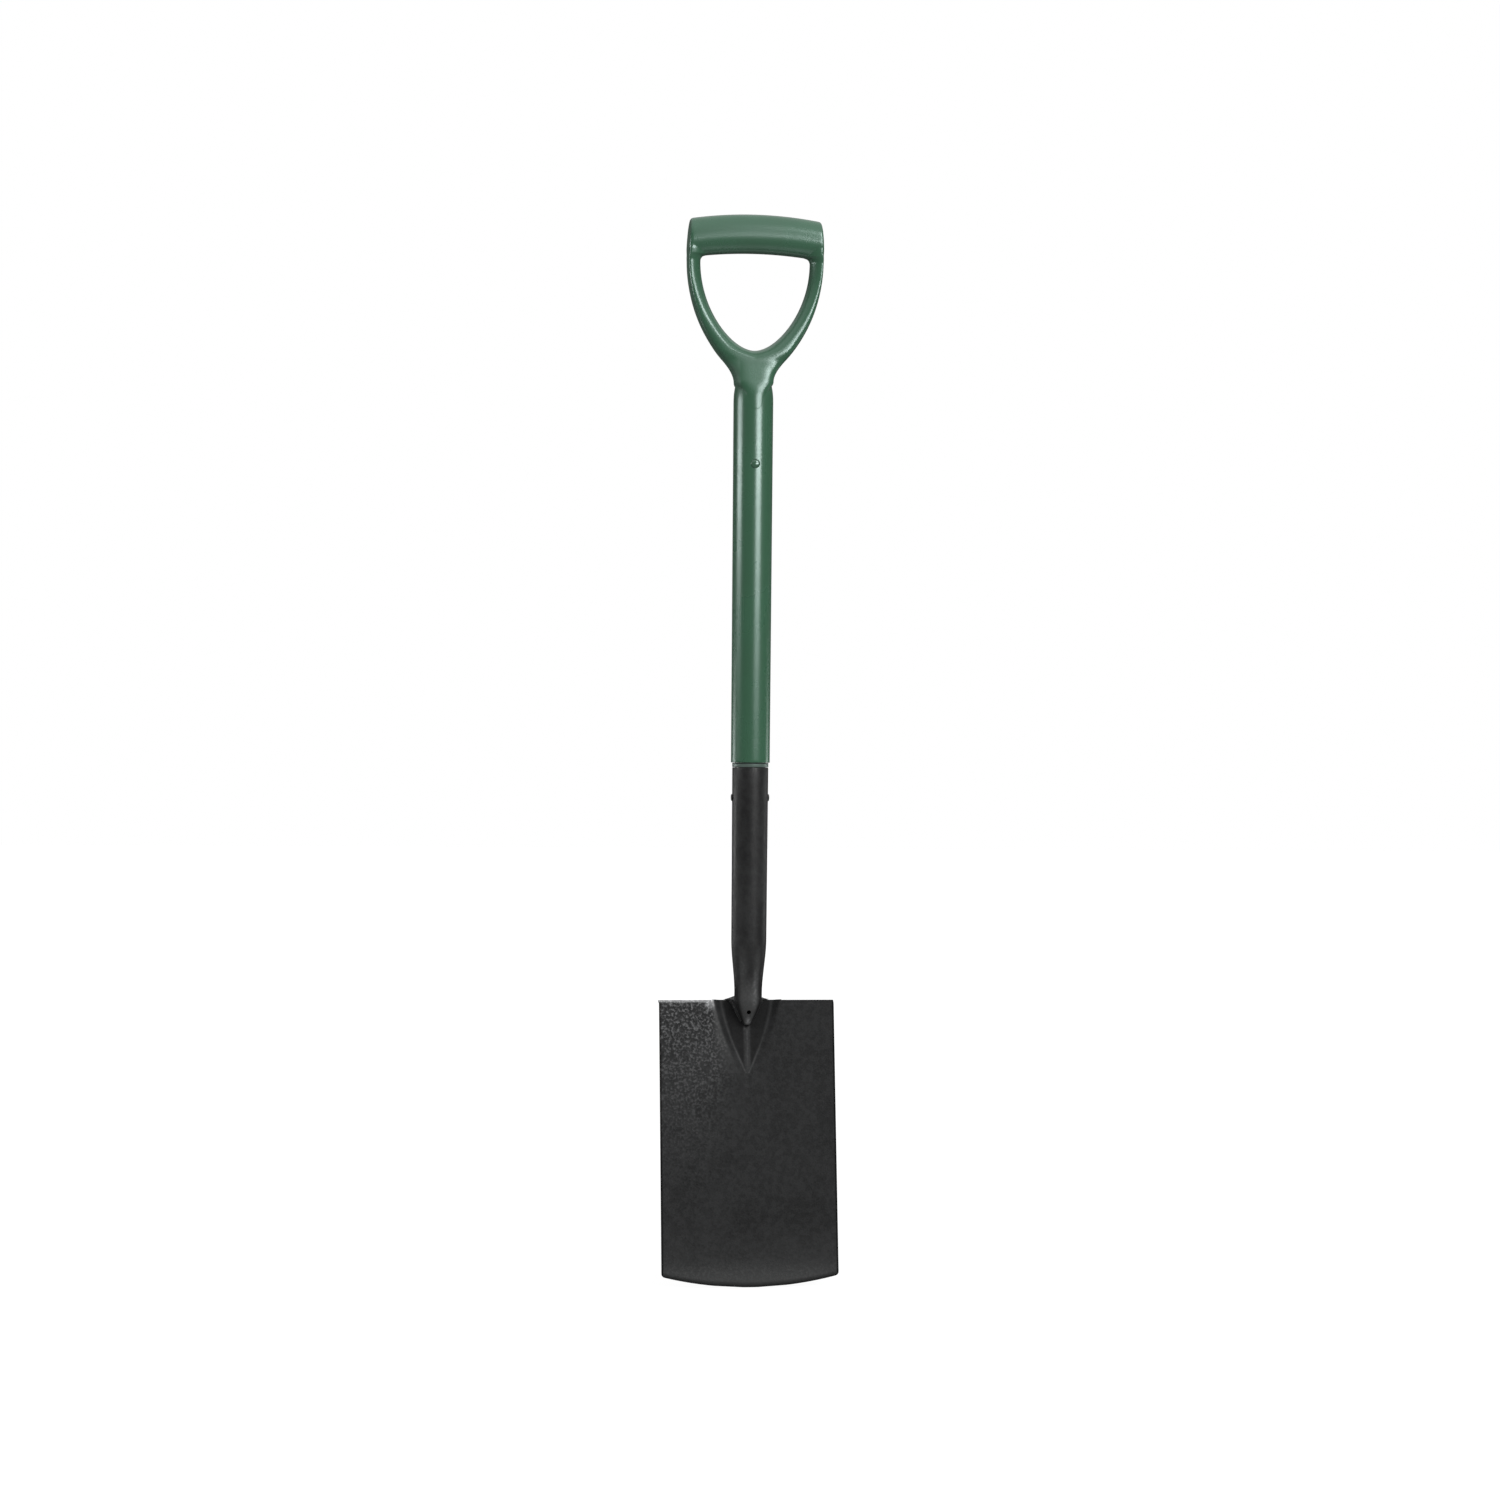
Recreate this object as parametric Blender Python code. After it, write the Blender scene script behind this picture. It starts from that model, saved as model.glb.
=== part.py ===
"""A digging spade: pressed steel blade, tubular socket, sleeved tube shaft and moulded D grip.

Metres, +Z up. The spade stands on its cutting edge with its front face towards -Y.
While it is built, the shaft's axis is the Z axis and the blade's lowest point is near z = 0.
The last step moves the whole spade so that its origin is the middle of its footprint.
"""

import math

import bmesh
import bpy
from mathutils import Matrix, Vector

# Clearances
FIT = 0.0003            # between a piece and what it is let into
SEAT = 0.0003           # between faces that rest on each other

# Blade, measured along its slope
BLADE_LENGTH = 0.2802
BLADE_WIDTH = 0.174
BLADE_SHEET = 0.002
BLADE_LIFT = math.radians(9.6)      # lean of the blade from the shaft's axis
BLADE_SET_BACK = 0.0117             # front face behind the shaft's axis, at the tread
EDGE_ARCH = 0.0109                  # how far the cutting edge's middle hangs below its corners
EDGE_CORNER = 0.003                 # radius of the two lower corners
TREAD_DEPTH = 0.0125                # front to back, over the bend
TREAD_BEND = 0.004                  # inside radius of the bend
TREAD_SHOULDER = 0.0015             # from the recess to each tread's inner end
TREAD_NOTCH = 0.0011                # relief cut beside each tread's inner end
TREAD_CORNER = 0.004                # radius of each tread's outer back corner

# Recess that takes the socket's foot
FROG_FLOOR_HALF = 0.0255            # half width of the floor at the tread
FROG_FLOOR_LENGTH = 0.075
FROG_WALL = 0.008                   # width of the sloping walls
FROG_TOE = 0.018                    # how far the walls run on past the floor's point
FROG_CURVE = 1.5                    # how much the creases bow out
FROG_DEPTH = 0.0042
RIB_HALF_WIDTH = 0.0044
RIB_HEIGHT = 0.0032
RIB_START_GAP = 0.0018              # from the socket's nose to the rib
RIB_LENGTH = 0.046
RIB_LEAD_IN = 0.006
RIB_RUN_OUT = 0.008

# Core tube
TUBE_DIAMETER = 0.030
TUBE_WALL = 0.0015
TUBE_IN_SOCKET = 0.106

# Socket
SOCKET_WALL_RIM = 0.00245
SOCKET_WALL_LOW = 0.002
SOCKET_RIM_ROUND = 0.0008
SOCKET_PARALLEL = 0.1691            # rim to where the tube draws in
SOCKET_DRAW = 0.053                 # length over which it draws in
SOCKET_FOOT_LENGTH = 0.0072         # from there to the tread
SOCKET_FOOT_DIAMETER = 0.0272
NOSE_LENGTH = 0.0238                # below the tread
NOSE_DIAMETER = 0.0078
NOSE_TAPER = 1.3                    # 1 is a straight cone
NOSE_BORE_DEPTH = 0.0135
DRAIN_HOLE_DIAMETER = 0.0042
DRAIN_HOLE_DROP = 0.0113            # below the tread
WELD_REACH_TOP = 0.0034             # how far the fillet runs out over the recess
WELD_REACH_END = 0.0013
WELD_CAP = 0.0016                   # height of the weld above the tread
WELD_HOLLOW = 0.2                   # 0.5 is a flat fillet, less is hollower
WELD_SHARE = 0.88                   # share of the nose's length that is welded
WELD_SIDE_ANGLE = math.radians(15)  # how far behind the socket's side it starts

# Collar and sleeve
COLLAR_HEIGHT = 0.0041
COLLAR_WALL = 0.0025
SLEEVE_LENGTH = 0.3552              # lower end to the start of the domed top
SLEEVE_WALL_TOP = 0.0043
SLEEVE_WALL_LOW = 0.0038
SLEEVE_END_ROUND = 0.0006
DOME_SLOPE_HEIGHT = 0.039           # height of the ellipse that the dome follows
DOME_CUT_HEIGHT = 0.026             # where the dome stops, inside the neck

# D grip
NECK_LENGTH = 0.0503                # dome start to the bottom of the finger opening
OPENING_HEIGHT = 0.0956
OPENING_HALF_WIDTH = 0.0548
OPENING_CORNER = 0.006
BAR_HEIGHT = 0.0383
BAR_DEPTH = 0.032
BAR_CROWN = 0.0028                  # fall of the bar from its middle to the corners
GRIP_HALF_WIDTH = 0.06745
GRIP_END_LEAN = 0.0012
LEG_DEPTH = 0.0225
YOKE_HALF_WIDTH = 0.0313            # where the legs meet
YOKE_DROP = 0.0093                  # of the yoke's outline below the opening
YOKE_DEPTH = 0.0275
RIDGE_DROP = 0.0165                 # where the two legs' front ridges meet, below the opening
TONGUE_HALF_WIDTH = 0.0108
TONGUE_END_DROP = 0.010             # of the tongue's end below the start of the dome
TONGUE_PROUD = 0.0002
BAR_ROUNDNESS = 2.25                # 2 gives an ellipse, more gives a squarer section
LEG_ROUNDNESS = 2.3
TONGUE_ROUNDNESS = 4.2
OPENING_SIDE_PULL = 0.55            # share of a leg's height over which its inside starts straight
OPENING_FOOT_PULL = 0.4             # share of the opening's half width that its foot runs level
LEG_SIDE_PULL = 0.4                 # share of a leg's height over which its outside starts straight
LEG_FOOT_PULL = 0.23                # share over which the outside runs on along the yoke
LEG_SPACING = 1.5                   # above 1, the outside's rings crowd towards the yoke
NECK_FLARE = 0.78                   # outward per unit upward, at the yoke
NECK_FLARE_PULL = 0.38              # share of the neck over which it keeps that flare
NECK_FOOT_PULL = 0.42               # share of the neck over which it ends straight
TANG_LENGTH = 0.078                 # below the start of the dome
TANG_TOP_RISE = 0.014               # above the start of the dome, inside the neck

# Rivets
SOCKET_RIVET_DROP = 0.0297          # below the socket's rim
SOCKET_RIVET_SHANK = 0.005
SOCKET_RIVET_HEAD = 0.007
SOCKET_RIVET_RISE = 0.0013
HANDLE_RIVET_DROP = 0.0626          # below the start of the dome
HANDLE_RIVET_SHANK = 0.005
HANDLE_RIVET_HEAD = 0.0085
HANDLE_RIVET_RISE = 0.0016
HANDLE_RIVET_SEAT = 0.0012          # depth of the flat seat in the sleeve

# Levels on the shaft's axis, worked up from the cutting edge
TREAD_Z = BLADE_LENGTH * math.cos(BLADE_LIFT)
DRAW_END_Z = TREAD_Z + SOCKET_FOOT_LENGTH
DRAW_TOP_Z = DRAW_END_Z + SOCKET_DRAW
RIM_Z = DRAW_TOP_Z + SOCKET_PARALLEL
COLLAR_Z = RIM_Z + SEAT
SLEEVE_Z = COLLAR_Z + COLLAR_HEIGHT + SEAT
DOME_Z = SLEEVE_Z + SLEEVE_LENGTH
TONGUE_END_Z = DOME_Z - TONGUE_END_DROP
TUBE_TOP_Z = TONGUE_END_Z - SEAT
CROTCH_Z = DOME_Z + NECK_LENGTH
BAR_UNDER_Z = CROTCH_Z + OPENING_HEIGHT
BAR_TOP_Z = BAR_UNDER_Z + BAR_HEIGHT
YOKE_Z = CROTCH_Z - YOKE_DROP
RIDGE_Z = CROTCH_Z - RIDGE_DROP
SOCKET_RIVET_Z = RIM_Z - SOCKET_RIVET_DROP
HANDLE_RIVET_Z = DOME_Z - HANDLE_RIVET_DROP
TANG_END_Z = DOME_Z - TANG_LENGTH

# Recess and treads
FROG_OUTER_HALF = FROG_FLOOR_HALF + FROG_WALL
FROG_OUTER_LENGTH = FROG_FLOOR_LENGTH + FROG_TOE
TREAD_START = FROG_OUTER_HALF + TREAD_SHOULDER

# Radii that follow from the core tube
TUBE_RADIUS = TUBE_DIAMETER / 2
TUBE_BORE = TUBE_RADIUS - TUBE_WALL
OVER_TUBE = TUBE_RADIUS + FIT
SLEEVE_RADIUS_TOP = OVER_TUBE + SLEEVE_WALL_TOP
SLEEVE_RADIUS_LOW = OVER_TUBE + SLEEVE_WALL_LOW
SOCKET_RADIUS_RIM = OVER_TUBE + SOCKET_WALL_RIM
SOCKET_RADIUS_LOW = OVER_TUBE + SOCKET_WALL_LOW
TANG_RADIUS = TUBE_BORE - FIT

# Facets
ROUND = 40                          # sides of a round piece
SOCKET_SIDES = 32
QUARTER = 7                         # steps in a quarter of the grip's section
LEG_STEPS = 13
CORNER_STEPS = 8
BAR_STEPS = 4
NECK_STEPS = 11
RIB_STEPS = 4                       # grid lines from the rib's crest to its side
TREAD_COLUMN = RIB_STEPS + 7        # grid line at which each tread starts


def clear_scene():
    """Removes every object, so that only the spade is left."""
    for obj in list(bpy.data.objects):
        bpy.data.objects.remove(obj, do_unlink=True)


def material(name, colour, roughness, metallic=0.0):
    """One Principled material, in linear colour."""
    made = bpy.data.materials.new(name)
    made.use_nodes = True
    shader = made.node_tree.nodes["Principled BSDF"]
    shader.inputs["Base Color"].default_value = (*colour, 1.0)
    shader.inputs["Roughness"].default_value = roughness
    shader.inputs["Metallic"].default_value = metallic
    made.diffuse_color = (*colour, 1.0)
    return made


def black_coat():
    return material("black_coat", (0.026, 0.027, 0.027), 0.42)


def bare_steel():
    return material("bare_steel", (0.42, 0.42, 0.41), 0.35, 1.0)


def green_plastic():
    return material("green_plastic", (0.047, 0.125, 0.072), 0.33)


def collar_plastic():
    return material("collar_plastic", (0.10, 0.15, 0.12), 0.45)


def green_enamel():
    return material("green_enamel", (0.055, 0.145, 0.085), 0.3, 0.2)


def smoothstep(share):
    """0 at 0 and 1 at 1, level at both ends."""
    share = min(max(share, 0.0), 1.0)
    return share * share * (3 - 2 * share)


def bezier(a, b, c, d, t):
    """Point of a cubic Bezier curve in the XZ plane."""
    u = 1 - t
    return a * u**3 + b * (3 * u * u * t) + c * (3 * u * t * t) + d * t**3


def new_object(name, bm, parent, finish):
    """An object from a bmesh, shaded smooth except at its creases."""
    bmesh.ops.recalc_face_normals(bm, faces=bm.faces)
    mesh = bpy.data.meshes.new(name)
    bm.to_mesh(mesh)
    bm.free()
    return place(name, mesh, parent, finish)


def place(name, mesh, parent, finish):
    """Links a mesh as an object under the spade's root."""
    mesh.shade_smooth()
    mesh.set_sharp_from_angle(angle=math.radians(35))
    obj = bpy.data.objects.new(name, mesh)
    bpy.context.scene.collection.objects.link(obj)
    obj.parent = parent
    if finish:
        mesh.materials.append(finish)
    return obj


def loft(rings, cap_start=True, cap_end=True, closed=True):
    """A bmesh skin over rings of equal length, with flat caps where asked."""
    bm = bmesh.new()
    rows = [[bm.verts.new(point) for point in ring] for ring in rings]
    count = len(rows[0])
    for low, high in zip(rows, rows[1:]):
        for i in range(count if closed else count - 1):
            j = (i + 1) % count
            bm.faces.new((low[i], low[j], high[j], high[i]))
    if cap_start:
        bm.faces.new(rows[0])
    if cap_end:
        bm.faces.new(rows[-1])
    return bm


def circle(radius, z, y=0.0, sides=SOCKET_SIDES):
    """A level ring of points round (0, y)."""
    angles = [2 * math.pi * i / sides for i in range(sides)]
    return [Vector((radius * math.cos(a), y + radius * math.sin(a), z)) for a in angles]


def turned(name, profile, parent, finish, closed_profile=True):
    """A solid turned round Z from (radius, z) points that run down the outside."""
    bm = bmesh.new()
    points = [bm.verts.new((radius, 0.0, z)) for radius, z in profile]
    for a, b in zip(points, points[1:]):
        bm.edges.new((a, b))
    if closed_profile:
        bm.edges.new((points[-1], points[0]))
    mesh = bpy.data.meshes.new(name)
    bm.to_mesh(mesh)
    bm.free()
    obj = place(name, mesh, parent, finish)
    screw = obj.modifiers.new("turn", "SCREW")
    screw.steps = ROUND
    screw.render_steps = ROUND
    screw.use_merge_vertices = True
    screw.merge_threshold = 0.00005
    screw.use_smooth_shade = True
    return obj


def cutter(name, bm, parent):
    """A helper solid that only cuts."""
    obj = new_object(name, bm, parent, None)
    obj.hide_render = True
    obj.display_type = "WIRE"
    return obj


def rod(radius, start, end, sides=24):
    """A straight round rod between two points, as a bmesh."""
    axis = end - start
    turn = axis.to_track_quat("Z", "Y").to_matrix()
    ring = [turn @ point for point in circle(radius, 0.0, sides=sides)]
    return loft([[start + point for point in ring], [end + point for point in ring]])


def boolean(obj, other, operation="DIFFERENCE"):
    """Adds an exact Boolean with another object."""
    step = obj.modifiers.new(other.name, "BOOLEAN")
    step.object = other
    step.operation = operation
    step.solver = "EXACT"


def blade_point(u, v, w):
    """A point of the blade: u across, v down from the tread, w behind its front face."""
    down = Vector((0, -math.sin(BLADE_LIFT), -math.cos(BLADE_LIFT)))
    back = Vector((0, math.cos(BLADE_LIFT), -math.sin(BLADE_LIFT)))
    return Vector((u, BLADE_SET_BACK, TREAD_Z)) + down * v + back * w


def frog_half(v, half, length):
    """Half width of a crease of the recess at v."""
    return half * max(0.0, 1 - (max(v, 0.0) / length) ** FROG_CURVE)


def frog_floor_depth(v):
    """How far the recess's floor lies behind the blade's face."""
    return FROG_DEPTH * max(0.0, 1 - (max(v, 0.0) / FROG_OUTER_LENGTH) ** 2)


def rib_start():
    """Where the rib starts, just below the socket's nose."""
    return NOSE_LENGTH / math.cos(BLADE_LIFT) + RIB_START_GAP


def rib_half(v):
    """Half width of the rib, which narrows with the recess's point."""
    return min(RIB_HALF_WIDTH, frog_half(v, FROG_FLOOR_HALF, FROG_FLOOR_LENGTH) + 0.0004)


def frog_depth(u, v):
    """Depth of the pressed sheet behind the blade's face, rib included."""
    u = abs(u)
    inner = frog_half(v, FROG_FLOOR_HALF, FROG_FLOOR_LENGTH)
    outer = frog_half(v, FROG_OUTER_HALF, FROG_OUTER_LENGTH)
    if u >= outer:
        return 0.0
    depth = frog_floor_depth(v)
    if u > inner:
        depth *= 1 - smoothstep((u - inner) / (outer - inner))
    along = v - rib_start()
    if u < rib_half(v) and 0 < along < RIB_LENGTH:
        ends = smoothstep(along / RIB_LEAD_IN) * smoothstep((RIB_LENGTH - along) / RIB_RUN_OUT)
        depth -= min(RIB_HEIGHT, depth) * ends * (1 - (u / rib_half(v)) ** 2)
    return depth


def edge_drop(u):
    """Length of the blade at u, less its length in the middle."""
    half = BLADE_WIDTH / 2
    radius = (half**2 + EDGE_ARCH**2) / (2 * EDGE_ARCH)
    drop = radius - math.sqrt(radius**2 - u**2)
    past = u - (half - EDGE_CORNER)
    if past > 0:
        drop += EDGE_CORNER - math.sqrt(max(EDGE_CORNER**2 - past**2, 0.0))
    return drop


def blade_columns(v):
    """Distances from the middle of the blade's grid lines at v."""
    inner = frog_half(v, FROG_FLOOR_HALF, FROG_FLOOR_LENGTH)
    outer = frog_half(v, FROG_OUTER_HALF, FROG_OUTER_LENGTH)
    rib = rib_half(v)
    wall = outer - inner
    follow = [rib * (i + 1) / RIB_STEPS for i in range(RIB_STEPS)]
    follow += [(rib + inner) / 2, inner]
    follow += [inner + wall * share for share in (0.25, 0.5, 0.75, 1.0)]
    least = 0.0009
    columns = [0.0]
    for wanted in follow:
        columns.append(max(wanted, columns[-1] + least))
    half = BLADE_WIDTH / 2
    flat_end = half - max(EDGE_CORNER, TREAD_CORNER)
    columns += [TREAD_START + (flat_end - TREAD_START) * i / 4 for i in range(5)]
    columns += [half - EDGE_CORNER * share for share in (0.6, 0.25, 0.05)]
    columns.append(half)
    return columns


def blade_rows():
    """Distances of the grid's rows from the bend to the cutting edge."""
    bend = TREAD_BEND + BLADE_SHEET
    frog_rows = 17
    plain_rows = 7
    rows = [bend + (FROG_OUTER_LENGTH - bend) * i / frog_rows for i in range(frog_rows)]
    left = BLADE_LENGTH - FROG_OUTER_LENGTH
    rows += [FROG_OUTER_LENGTH + left * i / plain_rows for i in range(plain_rows + 1)]
    return rows


def blade_sheet(grow=0.0):
    """The right half of the blade's front face, tread included."""
    bm = bmesh.new()
    bend = TREAD_BEND + BLADE_SHEET
    grid = []
    for v in blade_rows():
        share = max(0.0, (v - FROG_OUTER_LENGTH) / (BLADE_LENGTH - FROG_OUTER_LENGTH))
        row = []
        for u in blade_columns(v):
            there = v - share * edge_drop(u)
            row.append(bm.verts.new(blade_point(u, there, frog_depth(u, v) - grow)))
        grid.append(row)
    for high, low in zip(grid, grid[1:]):
        for j in range(len(high) - 1):
            bm.faces.new((high[j], high[j + 1], low[j + 1], low[j]))
    recess_top(bm, grid[0], bend, grow)
    tread(bm, grid[0], bend, grow)
    return bm


def recess_top(bm, first_row, bend, grow):
    """Carries the sheet straight up between the treads."""
    high = first_row[: TREAD_COLUMN + 1]
    steps = 3
    for k in range(1, steps + 1):
        v = bend * (1 - k / steps) - (grow if k == steps else 0.0)
        columns = blade_columns(v)[: TREAD_COLUMN + 1]
        columns[-1] -= TREAD_NOTCH * k / steps
        row = [bm.verts.new(blade_point(u, v, frog_depth(u, v) - grow)) for u in columns]
        for j in range(TREAD_COLUMN):
            bm.faces.new((row[j], row[j + 1], high[j + 1], high[j]))
        high = row


def tread(bm, first_row, bend, grow):
    """Bends the sheet to the back outside the recess."""
    high = first_row[TREAD_COLUMN:]
    columns = blade_columns(bend)[TREAD_COLUMN:]
    half = BLADE_WIDTH / 2
    arc = [math.radians(22.5 * k) for k in (1, 2, 3, 4)]
    path = [(bend - (bend + grow) * math.sin(a), bend - (bend + grow) * math.cos(a)) for a in arc]
    path.append((-grow, None))
    for v, w in path:
        row = []
        for u in columns:
            past = max(0.0, u - (half - TREAD_CORNER))
            cut = TREAD_CORNER - math.sqrt(max(TREAD_CORNER**2 - past**2, 0.0))
            row.append(bm.verts.new(blade_point(u, v, TREAD_DEPTH - cut if w is None else w)))
        for j in range(len(row) - 1):
            bm.faces.new((row[j], row[j + 1], high[j + 1], high[j]))
        high = row


def blade_object(name, parent, finish, grow=0.0):
    """The pressed sheet: half grid, mirrored and given its thickness."""
    bm = blade_sheet(grow)
    bmesh.ops.recalc_face_normals(bm, faces=bm.faces)
    bm.faces.ensure_lookup_table()
    if bm.faces[0].normal.y > 0:
        bmesh.ops.reverse_faces(bm, faces=bm.faces)
    mesh = bpy.data.meshes.new(name)
    bm.to_mesh(mesh)
    bm.free()
    obj = place(name, mesh, parent, finish)
    mirror = obj.modifiers.new("other_half", "MIRROR")
    mirror.use_clip = True
    mirror.merge_threshold = 0.00005
    wall = obj.modifiers.new("sheet", "SOLIDIFY")
    wall.thickness = BLADE_SHEET + 2 * grow
    wall.offset = -1.0
    wall.use_even_offset = True
    return obj


def blade(parent, finish):
    """Pressed blade with its treads, recess and rib."""
    return blade_object("blade", parent, finish)


def floor_y(z):
    """Y of the recess floor's front face at a level near the tread."""
    v = max(0.0, (TREAD_Z - z) / math.cos(BLADE_LIFT))
    depth = frog_floor_depth(v)
    v = max(0.0, (TREAD_Z - z - depth * math.sin(BLADE_LIFT)) / math.cos(BLADE_LIFT))
    return blade_point(0.0, v, frog_floor_depth(v)).y


def socket_radius(z):
    """Outer radius of the socket at a level."""
    foot = SOCKET_FOOT_DIAMETER / 2
    if z >= DRAW_TOP_Z:
        share = (z - DRAW_TOP_Z) / SOCKET_PARALLEL
        return SOCKET_RADIUS_LOW + (SOCKET_RADIUS_RIM - SOCKET_RADIUS_LOW) * share
    if z >= TREAD_Z:
        return foot + (SOCKET_RADIUS_LOW - foot) * smoothstep((z - DRAW_END_Z) / SOCKET_DRAW)
    share = min(1.0, (TREAD_Z - z) / NOSE_LENGTH)
    return foot - (foot - NOSE_DIAMETER / 2) * share**NOSE_TAPER


def socket_y(z):
    """Centre of the socket at a level: it leans back to lie in the recess."""
    if z <= TREAD_Z:
        return floor_y(z) - FIT / math.cos(BLADE_LIFT) - socket_radius(z)
    lean = floor_y(TREAD_Z) - FIT / math.cos(BLADE_LIFT) - SOCKET_FOOT_DIAMETER / 2
    return lean * (1 - smoothstep((z - TREAD_Z) / (DRAW_TOP_Z - TREAD_Z)))


def socket_levels():
    """Levels of the socket's outer rings, from the nose to the rim."""
    nose_steps = 9
    levels = [TREAD_Z - NOSE_LENGTH * (1 - i / nose_steps) for i in range(nose_steps + 1)]
    draw_steps = 11
    levels += [TREAD_Z + (DRAW_TOP_Z - TREAD_Z) * i / draw_steps for i in range(1, draw_steps + 1)]
    return levels


def socket_skin(grow=0.0):
    """The socket's outside, from its nose to its rim, as rings."""
    rings = [circle(socket_radius(z) + grow, z, socket_y(z)) for z in socket_levels()]
    tip = socket_levels()[0]
    rounding = NOSE_DIAMETER * 0.12
    radius = NOSE_DIAMETER / 2 - rounding
    return [circle(radius + grow, tip - rounding - grow, socket_y(tip) + rounding)] + rings


def socket(parent, finish):
    """Socket tube, open at its rim and closed at its nose."""
    rings = socket_skin()
    rings.append(circle(SOCKET_RADIUS_RIM, RIM_Z - SOCKET_RIM_ROUND))
    rings.append(circle(SOCKET_RADIUS_RIM - SOCKET_RIM_ROUND, RIM_Z))
    rings.append(circle(OVER_TUBE, RIM_Z))
    rings.append(circle(OVER_TUBE, DRAW_TOP_Z))
    bore_end = TREAD_Z - NOSE_BORE_DEPTH
    steps = 12
    for i in range(1, steps + 1):
        z = DRAW_TOP_Z + (bore_end - DRAW_TOP_Z) * i / steps
        rings.append(circle(socket_radius(z) - SOCKET_WALL_LOW, z, socket_y(z)))
    obj = new_object("socket", loft(rings), parent, finish)
    hole_z = TREAD_Z - DRAIN_HOLE_DROP
    middle = socket_y(hole_z)
    start = Vector((0, middle - SOCKET_FOOT_DIAMETER, hole_z))
    drain = rod(DRAIN_HOLE_DIAMETER / 2, start, Vector((0, middle, hole_z)), sides=16)
    boolean(obj, cutter("drain_hole_cutter", drain, parent))
    boolean(obj, cross_hole("socket_cross_hole", SOCKET_RIVET_SHANK, SOCKET_RIVET_Z, "X", parent))
    return obj


def cross_hole(name, shank, z, axis, parent):
    """Cutter for a rivet's hole, right through the shaft."""
    reach = Vector((1, 0, 0)) if axis == "X" else Vector((0, 1, 0))
    reach *= SLEEVE_RADIUS_TOP * 1.5
    middle = Vector((0, 0, z))
    return cutter(name, rod(shank / 2 + FIT, middle - reach, middle + reach), parent)


def weld_section(side, z, reach):
    """Outline of a fillet weld at a level, running on into the socket and the sheet."""
    radius = socket_radius(z)
    middle = socket_y(z)
    floor = floor_y(z)
    on_tube = Vector((math.cos(WELD_SIDE_ANGLE), math.sin(WELD_SIDE_ANGLE))) * radius
    start = Vector((on_tube.x, middle + on_tube.y))
    end = Vector((on_tube.x + reach, floor))
    bend = Vector((start.x + reach * WELD_HOLLOW, floor - (floor - start.y) * WELD_HOLLOW))
    pull = 2 / 3
    steps = 6
    first = start.lerp(bend, pull)
    second = end.lerp(bend, pull)
    arc = [bezier(start, first, second, end, i / steps) for i in range(steps + 1)]
    into_sheet = floor + BLADE_SHEET * 0.6
    inner = radius * 0.15
    points = arc + [
        Vector((end.x, into_sheet)),
        Vector((inner, into_sheet)),
        Vector((inner, middle + radius * 0.7)),
        Vector((start.x * 0.8, middle + on_tube.y * 0.8)),
    ]
    return [Vector((side * p.x, p.y, z)) for p in points]


def weld_skin(side):
    """One fillet weld, before the socket and the blade are cut from it."""
    length = NOSE_LENGTH * WELD_SHARE
    sections = [(WELD_CAP, 0.3), (WELD_CAP * 0.6, 0.75), (0.0, 1.0)]
    steps = 8
    rings = [weld_section(side, TREAD_Z + rise, WELD_REACH_TOP * part) for rise, part in sections]
    for i in range(1, steps + 1):
        share = i / steps
        reach = WELD_REACH_TOP + (WELD_REACH_END - WELD_REACH_TOP) * share
        rings.append(weld_section(side, TREAD_Z - length * share, reach))
    return loft(rings)


def weld(name, side, parent, finish):
    """A fillet weld between the socket's foot and the recess."""
    obj = new_object(name, weld_skin(side), parent, finish)
    rings = socket_skin(FIT)
    boolean(obj, cutter(name + "_socket_cutter", loft(rings), parent))
    grown = blade_object(name + "_blade_cutter", parent, None, FIT)
    grown.hide_render = True
    grown.display_type = "WIRE"
    boolean(obj, grown)
    return obj


def shaft_tube(parent, finish):
    """Steel core tube, from inside the socket to under the grip's neck."""
    end = RIM_Z - TUBE_IN_SOCKET
    profile = [
        (TUBE_RADIUS, TUBE_TOP_Z),
        (TUBE_RADIUS, end),
        (TUBE_BORE, end),
        (TUBE_BORE, TUBE_TOP_Z),
    ]
    obj = turned("shaft_tube", profile, parent, finish)
    boolean(obj, cross_hole("tube_lower_hole", SOCKET_RIVET_SHANK, SOCKET_RIVET_Z, "X", parent))
    boolean(obj, cross_hole("tube_upper_hole", HANDLE_RIVET_SHANK, HANDLE_RIVET_Z, "Y", parent))
    return obj


def shaft_collar(parent, finish):
    """Ring between the socket's rim and the sleeve."""
    outer = OVER_TUBE + COLLAR_WALL
    top = COLLAR_Z + COLLAR_HEIGHT
    edge = SLEEVE_END_ROUND / 2
    profile = [
        (outer - edge, top),
        (outer, top - edge),
        (outer, COLLAR_Z + edge),
        (outer - edge, COLLAR_Z),
        (OVER_TUBE, COLLAR_Z),
        (OVER_TUBE, top),
    ]
    return turned("shaft_collar", profile, parent, finish)


def sleeve_radius(z):
    """Outer radius of the sleeve at a level below its dome."""
    share = (z - SLEEVE_Z) / SLEEVE_LENGTH
    return SLEEVE_RADIUS_LOW + (SLEEVE_RADIUS_TOP - SLEEVE_RADIUS_LOW) * share


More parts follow.
